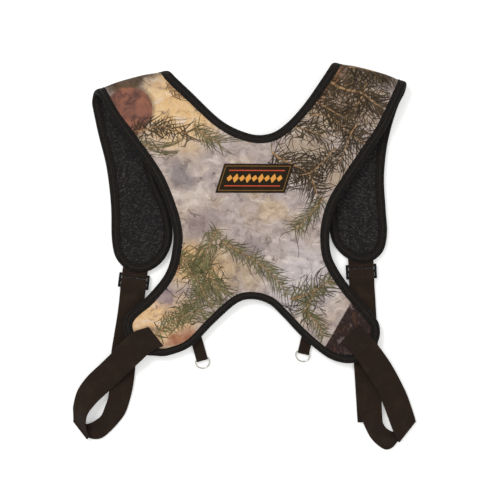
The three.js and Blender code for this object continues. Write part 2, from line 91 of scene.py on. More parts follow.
NECK = [
    (-85, 194), (-55, 166), (-25, 137.5), (-2, 125), (18, 121.5),
    (37, 129), (60, 153), (88, 194), (96, 207),
]
SIDE = [
    (165, 180), (151.5, 149.5), (139.5, 124.5), (122.5, 99.5), (105.5, 74.5), (91.5, 51),
    (85.5, 28), (86, 6), (92, -10), (106.5, -31.5), (131, -60.5),
    (136, -73.5), (134, -86), (126, -98), (114, -105.5),
    (100, -107), (82, -100.5), (57.5, -80.5), (37.5, -59.5), (24, -47.5), (7, -43), (-8.5, -47.5),
    (-31, -67.5), (-53.5, -90), (-76, -99.3),
    (-90, -99.8), (-104, -97.5), (-116, -87), (-121.5, -71), (-117, -57),
    (-97.5, -39.5), (-80, -18), (-72.8, 4), (-72.3, 30), (-85, 68),
    (-100.5, 94.5), (-132.5, 138.5), (-147, 165.5), (-155.5, 181),
]
PADS = {
    "left": [
        (-158.5, 175), (-154.5, 157.5), (-147.5, 124.5), (-139, 90), (-134.5, 52), (-133.5, 16.5),
        (-128.5, -3), (-114.5, -14.8), (-98, -15.2), (-83.5, -6), (-74.5, 9.5), (-72.4, 27),
        (-77.5, 50.5), (-89, 79), (-96.5, 115), (-92, 146), (-76.5, 180.5), (-70, 194),
    ],
    "right": [
        (169, 182), (165, 170.5), (154.5, 151), (144.5, 116.5), (140.5, 81.5), (142, 48.5),
        (143.5, 24.5), (140, 6.5), (129.5, -4), (115.5, -6.5), (100.5, 0), (89.5, 12.5),
        (85.2, 28.5), (84.5, 51.5), (87.5, 81.5), (91.5, 121.5), (90.5, 161.5), (87.5, 198),
    ],
}
FOLDS = {
    "left": {"point": (-111.3, 168.2), "along": (0.9652, 0.2616)},
    "right": {"point": (124.3, 176.2), "along": (0.9652, -0.2616)},
}
FOLD_EDGES = {"left": {"outer": -36, "neck": 40}, "right": {"outer": 38, "neck": -40}}

LABEL_CORNERS = ((-29.2, 63.6), (40.1, 63.4), (49.4, 92.3), (-20.1, 92.7))
LABEL_THICK = 0.9

LOCKS = {
    "left": {"at": (-110.6, -18.9), "down": (-0.12, -0.99277)},
    "right": {"at": (117.2, -9.3), "down": (0.05, -0.99875)},
}
RINGS = {
    "left": {"at": (-42.9, -103.4), "down": (0.27, -0.9629), "tongue": 28},
    "right": {"at": (59.4, -96.6), "down": (-0.23, -0.9732), "tongue": 22},
}

# The webbing's route: rows of the two edge points, outer then inner, from the arm to the crease.
UPPER_RUNS = {
    "left": [
        (-96, -70.5, 10.9, -81, -89.5, 10.9),
        (-110.9, -75.5, 10.9, -93.5, -95.5, 10.9),
        (-122.5, -85.5, 10.9, -103.5, -104.5, 10.9),
        (-134.5, -98, 8.2, -116.5, -116.5, 8.2),
        (-146.5, -109.5, 5.2, -129, -128.5, 5.6),
        (-158.5, -121, 3.6, -141.2, -140, 6.2),
        (-168, -134.5, 2.8, -150.4, -149, 9),
        (-172.2, -149.5, 2.6, -157.4, -159, 12),
        (-172.3, -158.5, 2.6, -158.8, -169.5, 10.5),
        (-172.1, -164, 2.4, -156.6, -181, 6),
    ],
    "right": [
        (115.5, -68.5, 10.9, 97, -85.2, 10.9),
        (132.2, -87, 10.9, 113.3, -104, 10.9),
        (141.5, -99.5, 10.4, 120.5, -114.5, 10.4),
        (148.5, -110, 7.8, 126, -122.5, 7.8),
        (157, -125.5, 5.2, 134, -136, 5.4),
        (163.5, -139, 4, 139, -148, 5.6),
        (168, -151.5, 3.4, 144, -161.5, 6),
        (171.6, -162.5, 2.8, 149.5, -176, 5.4),
        (171.9, -164.5, 2.6, 154.6, -185.6, 3.6),
    ],
}
# From the crease back to the lock: the inner edge, then the outer one.
RETURN_RUNS = {
    "left": [
        (-172.1, -165.6, 0.9, -155.9, -183.2, 1),
        (-164.5, -168.5, 1.4, -150.5, -184.2, 0.9),
        (-156.5, -168, 3.8, -143.5, -182.8, 0.9),
        (-149, -164, 6.4, -135.5, -176.5, 0.9),
        (-143.5, -159.2, 8, -127.5, -168, 0.9),
        (-140, -150.5, 7.4, -120, -157.5, 0.9),
        (-137.3, -142, 5.4, -115.2, -143.5, 1.2),
        (-135.8, -129.5, 3.4, -112.2, -130.5, 2.2),
        (-135.2, -113.5, 2.4, -110, -113.5, 2.4),
        (-134.5, -98.5, 2.4, -109, -97, 2.4),
        (-130.2, -71.5, 2.4, -104.8, -68, 2.4),
        (-127, -52, 2.4, -101.8, -48.5, 2.4),
    ],
    "right": [
        (171.9, -165.3, 0.9, 154.2, -186.6, 0.9),
        (160.5, -172.5, 0.9, 148.5, -193, 0.9),
        (151.5, -176.5, 1.2, 141.5, -194.5, 0.9),
        (144.5, -174, 4, 133.5, -189.5, 0.9),
        (140, -169, 6.4, 126.5, -181.8, 0.9),
        (137.5, -161, 7, 120.3, -169.5, 2.2),
        (137.8, -151.5, 5.6, 116, -157.5, 2.4),
        (138, -139.5, 3.2, 113, -144.5, 2.4),
        (136.8, -123.5, 2.4, 111.4, -126.5, 2.4),
        (135.3, -105.5, 2.4, 109.9, -106.5, 2.4),
        (133.5, -73.5, 2.4, 108.1, -74.5, 2.4),
        (131.8, -43, 2.4, 106.4, -44, 2.4),
    ],
}
TAIL_ENDS = {"left": (-136.6, -122, -111.4, -121), "right": (139.3, -167.2, 113.9, -167.2)}
TAIL_Z = 0.85
OVER_LOCK = [(23, 2.4), (19, 2.8), (15.5, 4.3), (LOCK_LIP_U, 5.5), (LOCK_MIDDLE_U + 3, 5.5)]
UNDER_LOCK = [(LOCK_MIDDLE_U + 4, 1.1), (19, TAIL_Z), (34, TAIL_Z)]
BAR_TURN_R = LOCK_BAR_R + GAP + WEB / 2

# ---- what the looks add ----

STRIP_REACH = 18  # each fold piece runs this far into the flat of the yoke and of the pad
STRIP_WIDTH = 77  # about how wide a shoulder strip is
PANEL_STEP = 2.3
LINING_STEP = 2.8
FOAM_STEP = 6
TAPE_STEP = 1.3
STRAP_STEP = 1.5
FOAM_CLEAR = 0.35  # between the foam and the layer over or under it

TAPE_THICK = 0.6
NECK_TAPE = 8.4  # how wide each tape shows
ARMHOLE_TAPE = 9.4
LOWER_TAPE = 7.6
PAD_TAPE = 9

STITCH_PITCH = 3.6
STITCH_LENGTH = 2.7
STITCH_R = 0.24
STRAP_SPLIT_Y = -80  # where a strap's return run ends and its lock piece starts

# A thin rib of the lock, between the tab and the strap. It fills the gap with dark plastic where there is
# only shade, and hides the bright floor behind.
LOCK_SHADE_RIB_U = 2.7
LOCK_SHADE_RIB_R = 0.34

YOKE_CROWN = 0.55
LINING_CROWN = 0.35
TAPE_SQUEEZE = 0.65  # how far the tape presses each face in
GATHER_PITCH = 6.1
GATHER_DEPTH = 0.24
GATHER_AT = 11  # how far from the edge the gathers are deepest
# The sheet's waves as it lies: height, wavelength and seed.
YOKE_WAVES = [(0.75, 78, 1.7), (0.3, 31, 5.2), (0.11, 12, 8.8)]
PAD_WAVES = [(0.22, 40, 6.1), (0.1, 14, 2.2)]

SIDES = ("left", "right")


# ---- small helpers ----


def smooth(t):
    """Rises from 0 to 1 with level ends."""
    t = np.clip(t, 0, 1)
    return t * t * (3 - 2 * t)


def unit(rows):
    """The rows as unit vectors."""
    return rows / np.maximum(np.linalg.norm(rows, axis=1), 1e-9)[:, None]


def wander(points, wavelength, seed=0.0):
    """Smooth noise at each 2-D or 3-D point, from -1 to 1."""
    scaled = np.asarray(points, float) / wavelength
    if scaled.ndim == 1:
        scaled = scaled[:, None]
    pad = np.zeros((len(scaled), 3))
    pad[:, : scaled.shape[1]] = scaled
    pad[:, 2] += seed
    return np.array([noise.noise(Vector(p)) for p in pad])


def arcs(points):
    """The length along a line up to each of its points."""
    return np.concatenate([[0], np.cumsum(np.linalg.norm(np.diff(points, axis=0), axis=1))])


def resampled(rows, step, columns=2):
    """The rows again, evenly spaced by the line that their first columns draw."""
    along = arcs(rows[:, :columns])
    count = max(2, round(along[-1] / step) + 1)
    at = np.linspace(0, along[-1], count)
    return np.stack([np.interp(at, along, column) for column in rows.T], axis=1)


def spline(points, step):
    """Evenly spaced points of a smooth curve through the given points."""
    p = np.array(points, float)
    ends = np.vstack([p[:1], p, p[-1:]])
    t = np.linspace(0, 1, 30, endpoint=False)[:, None]
    dense = []
    for a, b, c, d in zip(ends, ends[1:], ends[2:], ends[3:]):
        v0 = (c - a) / 2
        v1 = (d - b) / 2
        dense.append((2 * b - 2 * c + v0 + v1) * t**3 + (3 * c - 3 * b - 2 * v0 - v1) * t**2 + v0 * t + b)
    return resampled(np.vstack(dense + [p[-1:]]), step, p.shape[1])


def yoke_mid(y):
    """Height of the middle of the yoke: level over the shoulders, then down to the arms."""
    return YOKE_MID + (ARM_MID - YOKE_MID) * smooth((DRAPE_HIGH_Y - y) / (DRAPE_HIGH_Y - DRAPE_LOW_Y))


# ---- charts: flat maps of the sheet, and how each one lies in space ----
# A chart point q is flat, and r is the height above the sheet's middle, on the printed side.


class Yoke:
    """The back panel, print up."""

    def solid(self, q, r):
        """Where chart points lie in space, at height r off the sheet's middle."""
        return np.column_stack([q, yoke_mid(q[:, 1]) + r])

    def flat(self, q):
        """Where chart points are on the printed cloth, laid out flat."""
        return q


class Fold:
    """A shoulder: t along the fold line and s across it, from the yoke round to the pad."""

    def __init__(self, point, along):
        self.point = np.array(point)
        self.along = np.array(along)
        self.normal = np.array((-along[1], along[0]))

    def strip(self, xy, under):
        """Chart points from plan ones on the yoke, or on the pad if under."""
        t = (xy - self.point) @ self.along
        d = (xy - self.point) @ self.normal
        return np.column_stack([t, TURN - d if under else d])

    def flat(self, q):
        """Plan points as if the fold were laid out flat."""
        return self.point + q[:, :1] * self.along + q[:, 1:] * self.normal

    def solid(self, q, r):
        """Points in space for chart points q at heights r."""
        s = q[:, 1]
        angle = np.clip(s / FOLD_R, 0, math.pi)
        beyond = np.where(s < 0, s, np.where(s > TURN, TURN - s, 0.0))
        bulge = FOLD_BULGE * (1 - (q[:, 0] / FOLD_HALF) ** 2)
        out = np.sin(angle) * (FOLD_R + r + bulge) + beyond
        xy = self.point + q[:, :1] * self.along + out[:, None] * self.normal
        return np.column_stack([xy, FOLD_Z + np.cos(angle) * (FOLD_R + r)])


class Pad:
    """A front pad, print down. Its print goes on from the fold's."""

    def __init__(self, fold):
        self.fold = fold

    def solid(self, q, r):
        """Points in space for plan points q at heights r."""
        return np.column_stack([q, PAD_MID - r * np.ones(len(q))])

    def flat(self, q):
        """Where the points are on the flat print."""
        return self.fold.flat(self.fold.strip(q, True))


YOKE = Yoke()
FOLD = {side: Fold(**FOLDS[side]) for side in SIDES}
PAD = {side: Pad(FOLD[side]) for side in SIDES}


# ---- the sheet's edge, as one closed loop of parts ----


def with_inward(points, sign):
    """Rows of x, y and the unit direction into the sheet, which is left of the way when sign is 1."""
    way = unit(np.gradient(points, axis=0))
    return np.column_stack([points, -sign * way[:, 1], sign * way[:, 0]])


def trimmed(rows, value):
    """The stretch of rows where value is below zero, cut at exactly zero."""
    f = value(rows[:, :2])
    inside = np.flatnonzero(f < 0)
    first, last = inside[0], inside[-1]
    kept = [rows[first : last + 1]]
    if first > 0:
        share = f[first - 1] / (f[first - 1] - f[first])
        kept.insert(0, rows[first - 1 : first] * (1 - share) + rows[first : first + 1] * share)
    if last + 1 < len(rows):
        share = f[last] / (f[last] - f[last + 1])
        kept.append(rows[last : last + 1] * (1 - share) + rows[last + 1 : last + 2] * share)
    return np.vstack(kept)


def past_yoke_seams(q):
    """Below zero on the yoke, between the two seams."""
    return np.maximum(*[(q - FOLD[s].point) @ FOLD[s].normal + STRIP_REACH for s in FOLD])


FOLD_EASE = 5  # the edge keeps its own shape up to this close to the turn
FOLD_SEARCH = STRIP_REACH + 8
EDGE_SEARCH = 40


def edge_stretch(line, near, low, high):
    """The points of a line with t close to near and s between low and high, in order of s."""
    t, s = line.T
    kept = line[(np.abs(t - near) < EDGE_SEARCH) & (s > low) & (s < high)]
    return kept[np.argsort(kept[:, 1])]


def fold_edge(side, edge, over_curve, under_curve):
    """The sheet's edge round a fold, in the fold's own chart, from the yoke to the pad."""
    near = FOLD_EDGES[side][edge]
    over = FOLD[side].strip(over_curve, False)
    under = FOLD[side].strip(under_curve, True)
    over = edge_stretch(over, near, -FOLD_SEARCH, -FOLD_EASE)
    under = edge_stretch(under, near, TURN + FOLD_EASE, TURN + FOLD_SEARCH)
    (t0, s0), (t1, s1) = over[-1], under[0]
    slope0 = (over[-1, 0] - over[-6, 0]) / (over[-1, 1] - over[-6, 1])
    slope1 = (under[5, 0] - under[0, 0]) / (under[5, 1] - under[0, 1])
    x = np.linspace(0, 1, 40)[1:-1]
    span = s1 - s0
    t = t0 + (t1 - t0) * smooth(x)
    t = t + slope0 * span * (x**3 - 2 * x**2 + x) + slope1 * span * (x**3 - x**2)
    line = np.vstack([over, np.column_stack([t, s0 + span * x]), under])
    return resampled(line, 0.6)


def into_strip(line, edge_is_low_t):
    """Rows of the line with directions towards the middle of the strip."""
    rows = with_inward(line, 1)
    wanted = 1 if edge_is_low_t else -1
    if np.median(rows[:, 2]) * wanted < 0:
        rows[:, 2:] *= -1
    return rows


neck_curve = spline(NECK, 0.5)
side_curve = spline(SIDE, 0.5)
pad_curves = {side: spline(PADS[side], 0.5) for side in PADS}


def fold_rows(side, edge):
    """The edge of a fold piece, from the yoke's seam to the pad's, with directions inwards."""
    over = neck_curve if edge == "neck" else side_curve
    line = fold_edge(side, edge, over, pad_curves[side])
    low = (FOLD_EDGES[side]["outer"] < FOLD_EDGES[side]["neck"]) == (edge == "outer")
    rows = into_strip(line, low)
    return trimmed(rows, lambda q: np.maximum(-STRIP_REACH - q[:, 1], q[:, 1] - TURN - STRIP_REACH))


def pad_rows(side):
    """The edge of a pad from seam to seam, with directions inwards."""
    sign = 1 if side == "left" else -1
    rows = with_inward(pad_curves[side], sign)
    fold = FOLD[side]
    return trimmed(rows, lambda q: (q - fold.point) @ fold.normal + STRIP_REACH)


def smoothed_width(rows, name):
    """How wide the tape shows along a part of the edge."""
    if name == "neck":
        return np.full(len(rows), float(NECK_TAPE))
    if name != "side":
        return np.full(len(rows), float(PAD_TAPE))
    low = smooth((-50 - rows[:, 1]) / 30)
    middle = smooth((78 - np.abs(rows[:, 0] - 7)) / 20) * smooth((-20 - rows[:, 1]) / 20)
    lower = np.maximum(low * (np.abs(rows[:, 0] - 5) < 100), middle)
    kernel = np.ones(31) / 31
    padded = np.pad(lower, 15, mode="edge")
    lower = np.convolve(padded, kernel, mode="valid")
    return ARMHOLE_TAPE + (LOWER_TAPE - ARMHOLE_TAPE) * lower


def loop_part(name, chart, rows, start):
    """One part of the edge, evenly spaced, with its arc counted on from start."""
    rows = resampled(rows, TAPE_STEP)
    rows[:, 2:4] = unit(rows[:, 2:4])
    arc = start + arcs(rows[:, :2])
    return {"name": name, "chart": chart, "q": rows[:, :2], "in": rows[:, 2:4], "arc": arc}


LOOP = {}
arc_now = 0.0
for part_name, part_chart, part_rows in [
    ("neck", YOKE, trimmed(with_inward(neck_curve, -1), past_yoke_seams)),
    ("right_fold_neck", FOLD["right"], fold_rows("right", "neck")),
    ("right_pad", PAD["right"], pad_rows("right")[::-1]),
    ("right_fold_outer", FOLD["right"], fold_rows("right", "outer")[::-1]),
    ("side", YOKE, trimmed(with_inward(side_curve, -1), past_yoke_seams)),
    ("left_fold_outer", FOLD["left"], fold_rows("left", "outer")),
    ("left_pad", PAD["left"], pad_rows("left")),
    ("left_fold_neck", FOLD["left"], fold_rows("left", "neck")[::-1]),
]:
    LOOP[part_name] = loop_part(part_name, part_chart, part_rows, arc_now)
    arc_now = LOOP[part_name]["arc"][-1]
for part in LOOP.values():
    part["width"] = smoothed_width(part["q"], part["name"])
# The tape's width eases from the yoke's to the folds'.
for yoke_name in ("neck", "side"):
    part = LOOP[yoke_name]
    lead = np.minimum(part["arc"] - part["arc"][0], part["arc"][-1] - part["arc"])
    part["width"] = PAD_TAPE + (part["width"] - PAD_TAPE) * smooth(lead / 30)


BATCH = 2000  # points worked on at a time, to spare memory


def nearest_edge(q, names):
    """How far each chart point is from the named parts of the edge, and the arc there."""
    edge = np.vstack([LOOP[n]["q"] for n in names])
    arc = np.concatenate([LOOP[n]["arc"] for n in names])
    far = np.empty(len(q))
    at = np.empty(len(q))
    for i in range(0, len(q), BATCH):
        d = np.linalg.norm(q[i : i + BATCH, None] - edge[None], axis=2)
        best = d.argmin(axis=1)
        far[i : i + BATCH] = d[np.arange(len(best)), best]
        at[i : i + BATCH] = arc[best]
    return far, at


# ---- heights of the sheet's faces ----


def ripple(arc):
    """Small gathers that follow the stitches, at each arc."""
    return np.sin(2 * math.pi * arc / GATHER_PITCH + 2.2 * wander(arc, 23, 4.0))


def face_height(far, arc, crown):
    """How far a face of the padded sheet is from its middle, at a distance from the edge."""
    squeezed = SHEET / 2 - TAPE_SQUEEZE * (1 - smooth((far - 6.5) / 4))
    puffed = crown * smooth((far - 8) / 15)
    gathered = GATHER_DEPTH * np.exp(-(((far - GATHER_AT) / 3) ** 2)) * (0.6 + 0.4 * ripple(arc))
    return squeezed + puffed - gathered * smooth((far - 5) / 4)


def waves(q, table):
    """The height of a sheet's waves at chart points."""
    return sum(height * wander(q, wavelength, seed) for height, wavelength, seed in table)


def yoke_lie(q):
    """How the yoke lies a little unevenly over the pads. It is level at the seams and the label."""
    seam = smooth((-past_yoke_seams(q)) / 30)
    middle = np.mean(LABEL_CORNERS, axis=0)
    from_label = np.hypot(q[:, 0] - middle[0], (q[:, 1] - middle[1]) * 1.6)
    label = 1 - 0.75 * smooth((62 - from_label) / 30)
    creases = -0.5 * np.exp(-((wander(q * (1, 0.55), 60, 9.4) / 0.09) ** 2))
    creases = creases * smooth(wander(q, 50, 3.3) * 3)
    return (waves(q, YOKE_WAVES) + creases * 0.6) * seam * label


def pad_lie(side, q):
    """How a pad lies a little unevenly. It is level at its seam."""
    fold = FOLD[side]
    seam = smooth((-((q - fold.point) @ fold.normal) - STRIP_REACH) / 25)
    return waves(q, PAD_WAVES) * seam


# ---- meshes ----


def new_mesh(name, verts, faces, materials, kinds=None, strip=None, flat=None, sharp=None):
    """An object from points in millimetres. kinds gives each face's material number."""
    mesh = bpy.data.meshes.new(name)
    points = np.asarray(verts, float) * MM
    mesh.from_pydata(points.tolist(), [], [list(map(int, f)) for f in faces])
    for m in materials:
        mesh.materials.append(m)
    if kinds is not None:
        mesh.polygons.foreach_set("material_index", np.asarray(kinds, np.int32))
    loops = np.zeros(len(mesh.loops), np.int32)
    mesh.loops.foreach_get("vertex_index", loops)
    for layer, values in (("strip", strip), ("flat", flat)):
        if values is not None:
            made = mesh.uv_layers.new(name=layer)
            made.data.foreach_set("uv", np.asarray(values, np.float32)[loops].ravel())
    mesh.shade_smooth()
    if sharp is not None:
        mesh.set_sharp_from_angle(angle=math.radians(sharp))
    mesh.update()
    obj = bpy.data.objects.new(name, mesh)
    bpy.context.scene.collection.objects.link(obj)
    return obj


def volume(verts, faces):
    """Six times the signed volume inside closed faces."""
    total = 0.0
    for f in faces:
        a = verts[f[0]]
        for j in range(1, len(f) - 1):
            total += float(np.dot(a, np.cross(verts[f[j]], verts[f[j + 1]])))
    return total


def facing_out(verts, faces):
    """The faces, turned over if they point inwards."""
    if volume(verts, faces) < 0:
        return [tuple(reversed(f)) for f in faces]
    return faces


def inside_outline(points, outline):
    """Which points are inside a closed outline."""
    a = outline
    b = np.roll(outline, -1, axis=0)
    result = np.zeros(len(points), bool)
    for i in range(0, len(points), BATCH):
        p = points[i : i + BATCH, None]
        crosses = (a[None, :, 1] > p[..., 1]) != (b[None, :, 1] > p[..., 1])
        rise = np.where(b[:, 1] == a[:, 1], 1e-9, b[:, 1] - a[:, 1])
        x = a[:, 0] + (p[..., 1] - a[:, 1]) * (b[:, 0] - a[:, 0]) / rise
        result[i : i + BATCH] = (crosses & (p[..., 0] < x)).sum(axis=1) % 2 == 1
    return result


def filled(outline, spacing):
    """Even triangles over an outline: its points first, then a grid of inner ones."""
    low, high = outline.min(axis=0), outline.max(axis=0)
    height = spacing * math.sqrt(3) / 2
    grid = []
    for row in range(int((high[1] - low[1]) / height) + 1):
        x = np.arange(low[0] + (row % 2) * spacing / 2, high[0], spacing)
        grid.append(np.column_stack([x, np.full(len(x), low[1] + row * height)]))
    grid = np.vstack(grid)
    grid = grid[inside_outline(grid, outline)]
    far = np.array([np.linalg.norm(outline - p, axis=1).min() for p in grid])
    points = np.vstack([outline, grid[far > 0.6 * spacing]])
    n = len(outline)
    edges = [(i, (i + 1) % n) for i in range(n)]
    made = delaunay_2d_cdt([Vector(p) for p in points], edges, [list(range(n))], 1, 1e-6)
    verts = np.array([tuple(v) for v in made[0]])
    faces = []
    for f in made[2]:
        a, b, c = verts[list(f)]
        area = (b[0] - a[0]) * (c[1] - a[1]) - (b[1] - a[1]) * (c[0] - a[0])
        faces.append(tuple(f) if area > 0 else tuple(reversed(f)))
    return verts, faces


def rim_of(faces):
    """The directed edges that only one face uses."""
    seen = set()
    for f in faces:
        for i, a in enumerate(f):
            seen.add((a, f[(i + 1) % len(f)]))
    return [(a, b) for a, b in seen if (b, a) not in seen]


def slab_faces(faces, count):
    """Closed faces from the top ones: the same turned over for the bottom, and a rim."""
    body = [tuple(f) for f in faces]
    body += [tuple(i + count for i in reversed(f)) for f in faces]
    body += [(b, a, a + count, b + count) for a, b in sorted(rim_of(faces))]
    return body


def ring_faces(rings, sides, closed=False):
    """Faces from each ring of points to the next one, and back to the first if closed."""
    faces = []
    for i in range(rings if closed else rings - 1):
        after = (i + 1) % rings
        for j in range(sides):
            k = (j + 1) % sides
            faces.append((i * sides + j, i * sides + k, after * sides + k, after * sides + j))
    return faces


def end_faces(rings, sides):
    """One face over the first ring and one over the last."""
    last = (rings - 1) * sides
    return [tuple(reversed(range(sides))), tuple(last + j for j in range(sides))]


def ring_body(columns, strips, cap):
    """A closed body from its long rows of points. cap makes the faces over a ring's points."""
    rings = np.stack(columns, axis=1)
    n, m = rings.shape[:2]
    faces = ring_faces(n, m) + cap(0, m)
    faces += [tuple(reversed(f)) for f in cap((n - 1) * m, m)]
    verts = rings.reshape(-1, 3)
    return verts, facing_out(verts, faces), np.stack(strips, axis=1).reshape(-1, 2)


class Parts:
    """Gathers the parts of one object: points, faces, material numbers and strip coordinates."""

    def __init__(self):
        self.verts = []
        self.faces = []
        self.kinds = []
        self.strips = []
        self.count = 0

    def add(self, kind, verts, faces, strip=None):
        """Adds a part. One without strip coordinates, such as thread, gets zeros."""
        self.verts.append(verts)
        self.faces += [tuple(i + self.count for i in f) for f in faces]
        self.kinds += [kind] * len(faces)
        self.strips.append(np.zeros((len(verts), 2)) if strip is None else strip)
        self.count += len(verts)

    def make(self, name, materials, sharp):
        """The object."""
        return new_mesh(name, np.vstack(self.verts), self.faces, materials, self.kinds,
                        strip=np.vstack(self.strips), sharp=sharp)


def closed_layer(name, chart, q, faces, top, bottom, material, sharp=50):
    """A closed sheet over chart faces, from height bottom up to height top."""
    verts = np.vstack([chart.solid(q, top), chart.solid(q, bottom)])
    body = facing_out(verts, slab_faces(faces, len(q)))
    flat = np.vstack([chart.flat(q)] * 2)
    return new_mesh(name, verts, body, [material], flat=flat, sharp=sharp)


# ---- node helpers ----


class Nodes:
    """Builds a material's nodes with short calls."""

    def __init__(self, tree):
        self.tree = tree

    def add(self, kind, **settings):
        """A new node with these settings."""
        node = self.tree.nodes.new(kind)
        for key, value in settings.items():
            setattr(node, key, value)
        return node

    def feed(self, socket, value):
        """Links a socket to another one, or sets its value."""
        if isinstance(value, bpy.types.NodeSocket):
            self.tree.links.new(value, socket)
        elif value is not None:
            socket.default_value = value

    def math(self, operation, a, b=None, c=None):
        """One sum on numbers."""
        node = self.add("ShaderNodeMath", operation=operation)
        for i, value in enumerate((a, b, c)):
            self.feed(node.inputs[i], value)
        return node.outputs[0]

    def centred(self, share):
        """A share from 0 to 1, moved to run from -0.5 to 0.5."""
        return self.minus(share, 0.5)

    def ribs(self, value, pitch):
        """A wave from -1 to 1 that comes back every pitch."""
        return self.math("SINE", self.times(value, 2 * math.pi / pitch))

    def times(self, a, b):
        """a times b."""
        return self.math("MULTIPLY", a, b)

    def plus(self, a, b):
        """a plus b."""
        return self.math("ADD", a, b)

    def minus(self, a, b):
        """a minus b."""
        return self.math("SUBTRACT", a, b)

    def over(self, a, b):
        """a divided by b."""
        return self.math("DIVIDE", a, b)

    def times_plus(self, a, b, c):
        """a times b, plus c."""
        return self.math("MULTIPLY_ADD", a, b, c)

    def vector(self, operation, a, b=None, scale=None):
        """One sum on vectors."""
        node = self.add("ShaderNodeVectorMath", operation=operation)
        self.feed(node.inputs[0], a)
        self.feed(node.inputs[1], b)
        if scale is not None:
            self.feed(node.inputs["Scale"], scale)
        return node.outputs["Value" if operation == "LENGTH" else "Vector"]

    def split(self, vector):
        """The x, y and z of a vector."""
        node = self.add("ShaderNodeSeparateXYZ")
        self.feed(node.inputs[0], vector)
        return node.outputs

    def join(self, x, y, z=0.0):
        """A vector from its x, y and z."""
        node = self.add("ShaderNodeCombineXYZ")
        for i, value in enumerate((x, y, z)):
            self.feed(node.inputs[i], value)
        return node.outputs[0]

    def noise(self, vector, scale, detail=2.0, roughness=0.5, distortion=0.0, color=False):
        """Smooth noise in space, as a number or as a colour."""
        node = self.add("ShaderNodeTexNoise")
        self.feed(node.inputs["Vector"], vector)
        self.feed(node.inputs["Scale"], scale)
        self.feed(node.inputs["Detail"], detail)
        self.feed(node.inputs["Roughness"], roughness)
        self.feed(node.inputs["Distortion"], distortion)
        return node.outputs[1 if color else 0]

    def wave(self, value):
        """Smooth noise along one number."""
        node = self.add("ShaderNodeTexNoise", noise_dimensions="1D")
        self.feed(node.inputs["W"], value)
        node.inputs["Scale"].default_value = 1.0
        node.inputs["Detail"].default_value = 0.0
        return node.outputs[0]

    def random(self, value, offset=0.0):
        """A random number from 0 to 1 for each value."""
        node = self.add("ShaderNodeTexWhiteNoise", noise_dimensions="1D")
        self.feed(node.inputs["W"], self.plus(value, offset) if offset else value)
        return node.outputs["Value"]

    def cells(self, vector, scale):
        """How far each point is from the middle of its cell."""
        node = self.add("ShaderNodeTexVoronoi")
        self.feed(node.inputs["Vector"], vector)
        self.feed(node.inputs["Scale"], scale)
        return node.outputs[0]

    def ease(self, value, low, high, to_low=0.0, to_high=1.0):
        """Eases from to_low to to_high while value goes from low to high."""
        node = self.add("ShaderNodeMapRange", interpolation_type="SMOOTHSTEP", clamp=False)
        for socket, v in zip(node.inputs, (value, low, high, to_low, to_high)):
            self.feed(socket, v)
        return node.outputs[0]

    def mix(self, share, a, b, blend="MIX"):
        """Two colours, by how much of the second one there is."""
        node = self.add("ShaderNodeMix", data_type="RGBA", blend_type=blend)
        self.feed(node.inputs[0], share)
        self.feed(node.inputs[6], a)
        self.feed(node.inputs[7], b)
        return node.outputs[2]

    def shade(self, value, low, high, first, second):
        """From the first colour to the second while value goes from low to high."""
        return self.mix(self.ease(value, low, high), colour(*first), colour(*second))

    def tint(self, base, value, low, high, shade, to_low=0.0, to_high=1.0):
        """Lays a colour over base, with a strength that follows value."""
        return self.mix(self.ease(value, low, high, to_low, to_high), base, colour(*shade))

    def uv(self, name):
        """The place on one of the object's UV maps."""
        return self.add("ShaderNodeUVMap", uv_map=name).outputs[0]

    def attribute(self, name):
        """A value that the mesh carries."""
        return self.add("ShaderNodeAttribute", attribute_name=name).outputs["Vector"]

    def dress(self, shader, base, normal, rough=None):
        """Feeds a shader its colour, its normal and its roughness."""
        self.feed(shader.inputs["Base Color"], base)
        self.feed(shader.inputs["Normal"], normal)
        if rough is not None:
            self.feed(shader.inputs["Roughness"], rough)

    def bump(self, height, distance, strength=1.0, normal=None):
        """A normal raised by a height."""
        node = self.add("ShaderNodeBump")
        node.inputs["Strength"].default_value = strength
        node.inputs["Distance"].default_value = distance
        self.feed(node.inputs["Height"], height)
        if normal is not None:
            self.feed(node.inputs["Normal"], normal)
        return node.outputs[0]


def colour(r, g, b):
    """A linear colour from its 0 to 255 values as seen."""

    def linear(c):
        c = c / 255
        return c / 12.92 if c <= 0.04045 else ((c + 0.055) / 1.055) ** 2.4

    return (linear(r), linear(g), linear(b), 1.0)


def new_material(name, rough, metallic=0.0, sheen=0.0, sheen_rough=0.5, specular=0.5):
    """A material with its nodes helper and its shader."""
    material = bpy.data.materials.new(name)
    material.use_nodes = True
    nodes = Nodes(material.node_tree)
    shader = material.node_tree.nodes["Principled BSDF"]
    shader.inputs["Roughness"].default_value = rough
    shader.inputs["Metallic"].default_value = metallic
    shader.inputs["Sheen Weight"].default_value = sheen
    shader.inputs["Sheen Roughness"].default_value = sheen_rough
    shader.inputs["Specular IOR Level"].default_value = specular
    return material, nodes, shader


def place_vector(n):
    """The object's own coordinates, in millimetres."""
    return n.vector("SCALE", n.add("ShaderNodeTexCoord").outputs["Object"], scale=1000.0)


# ---- the printed cloth ----

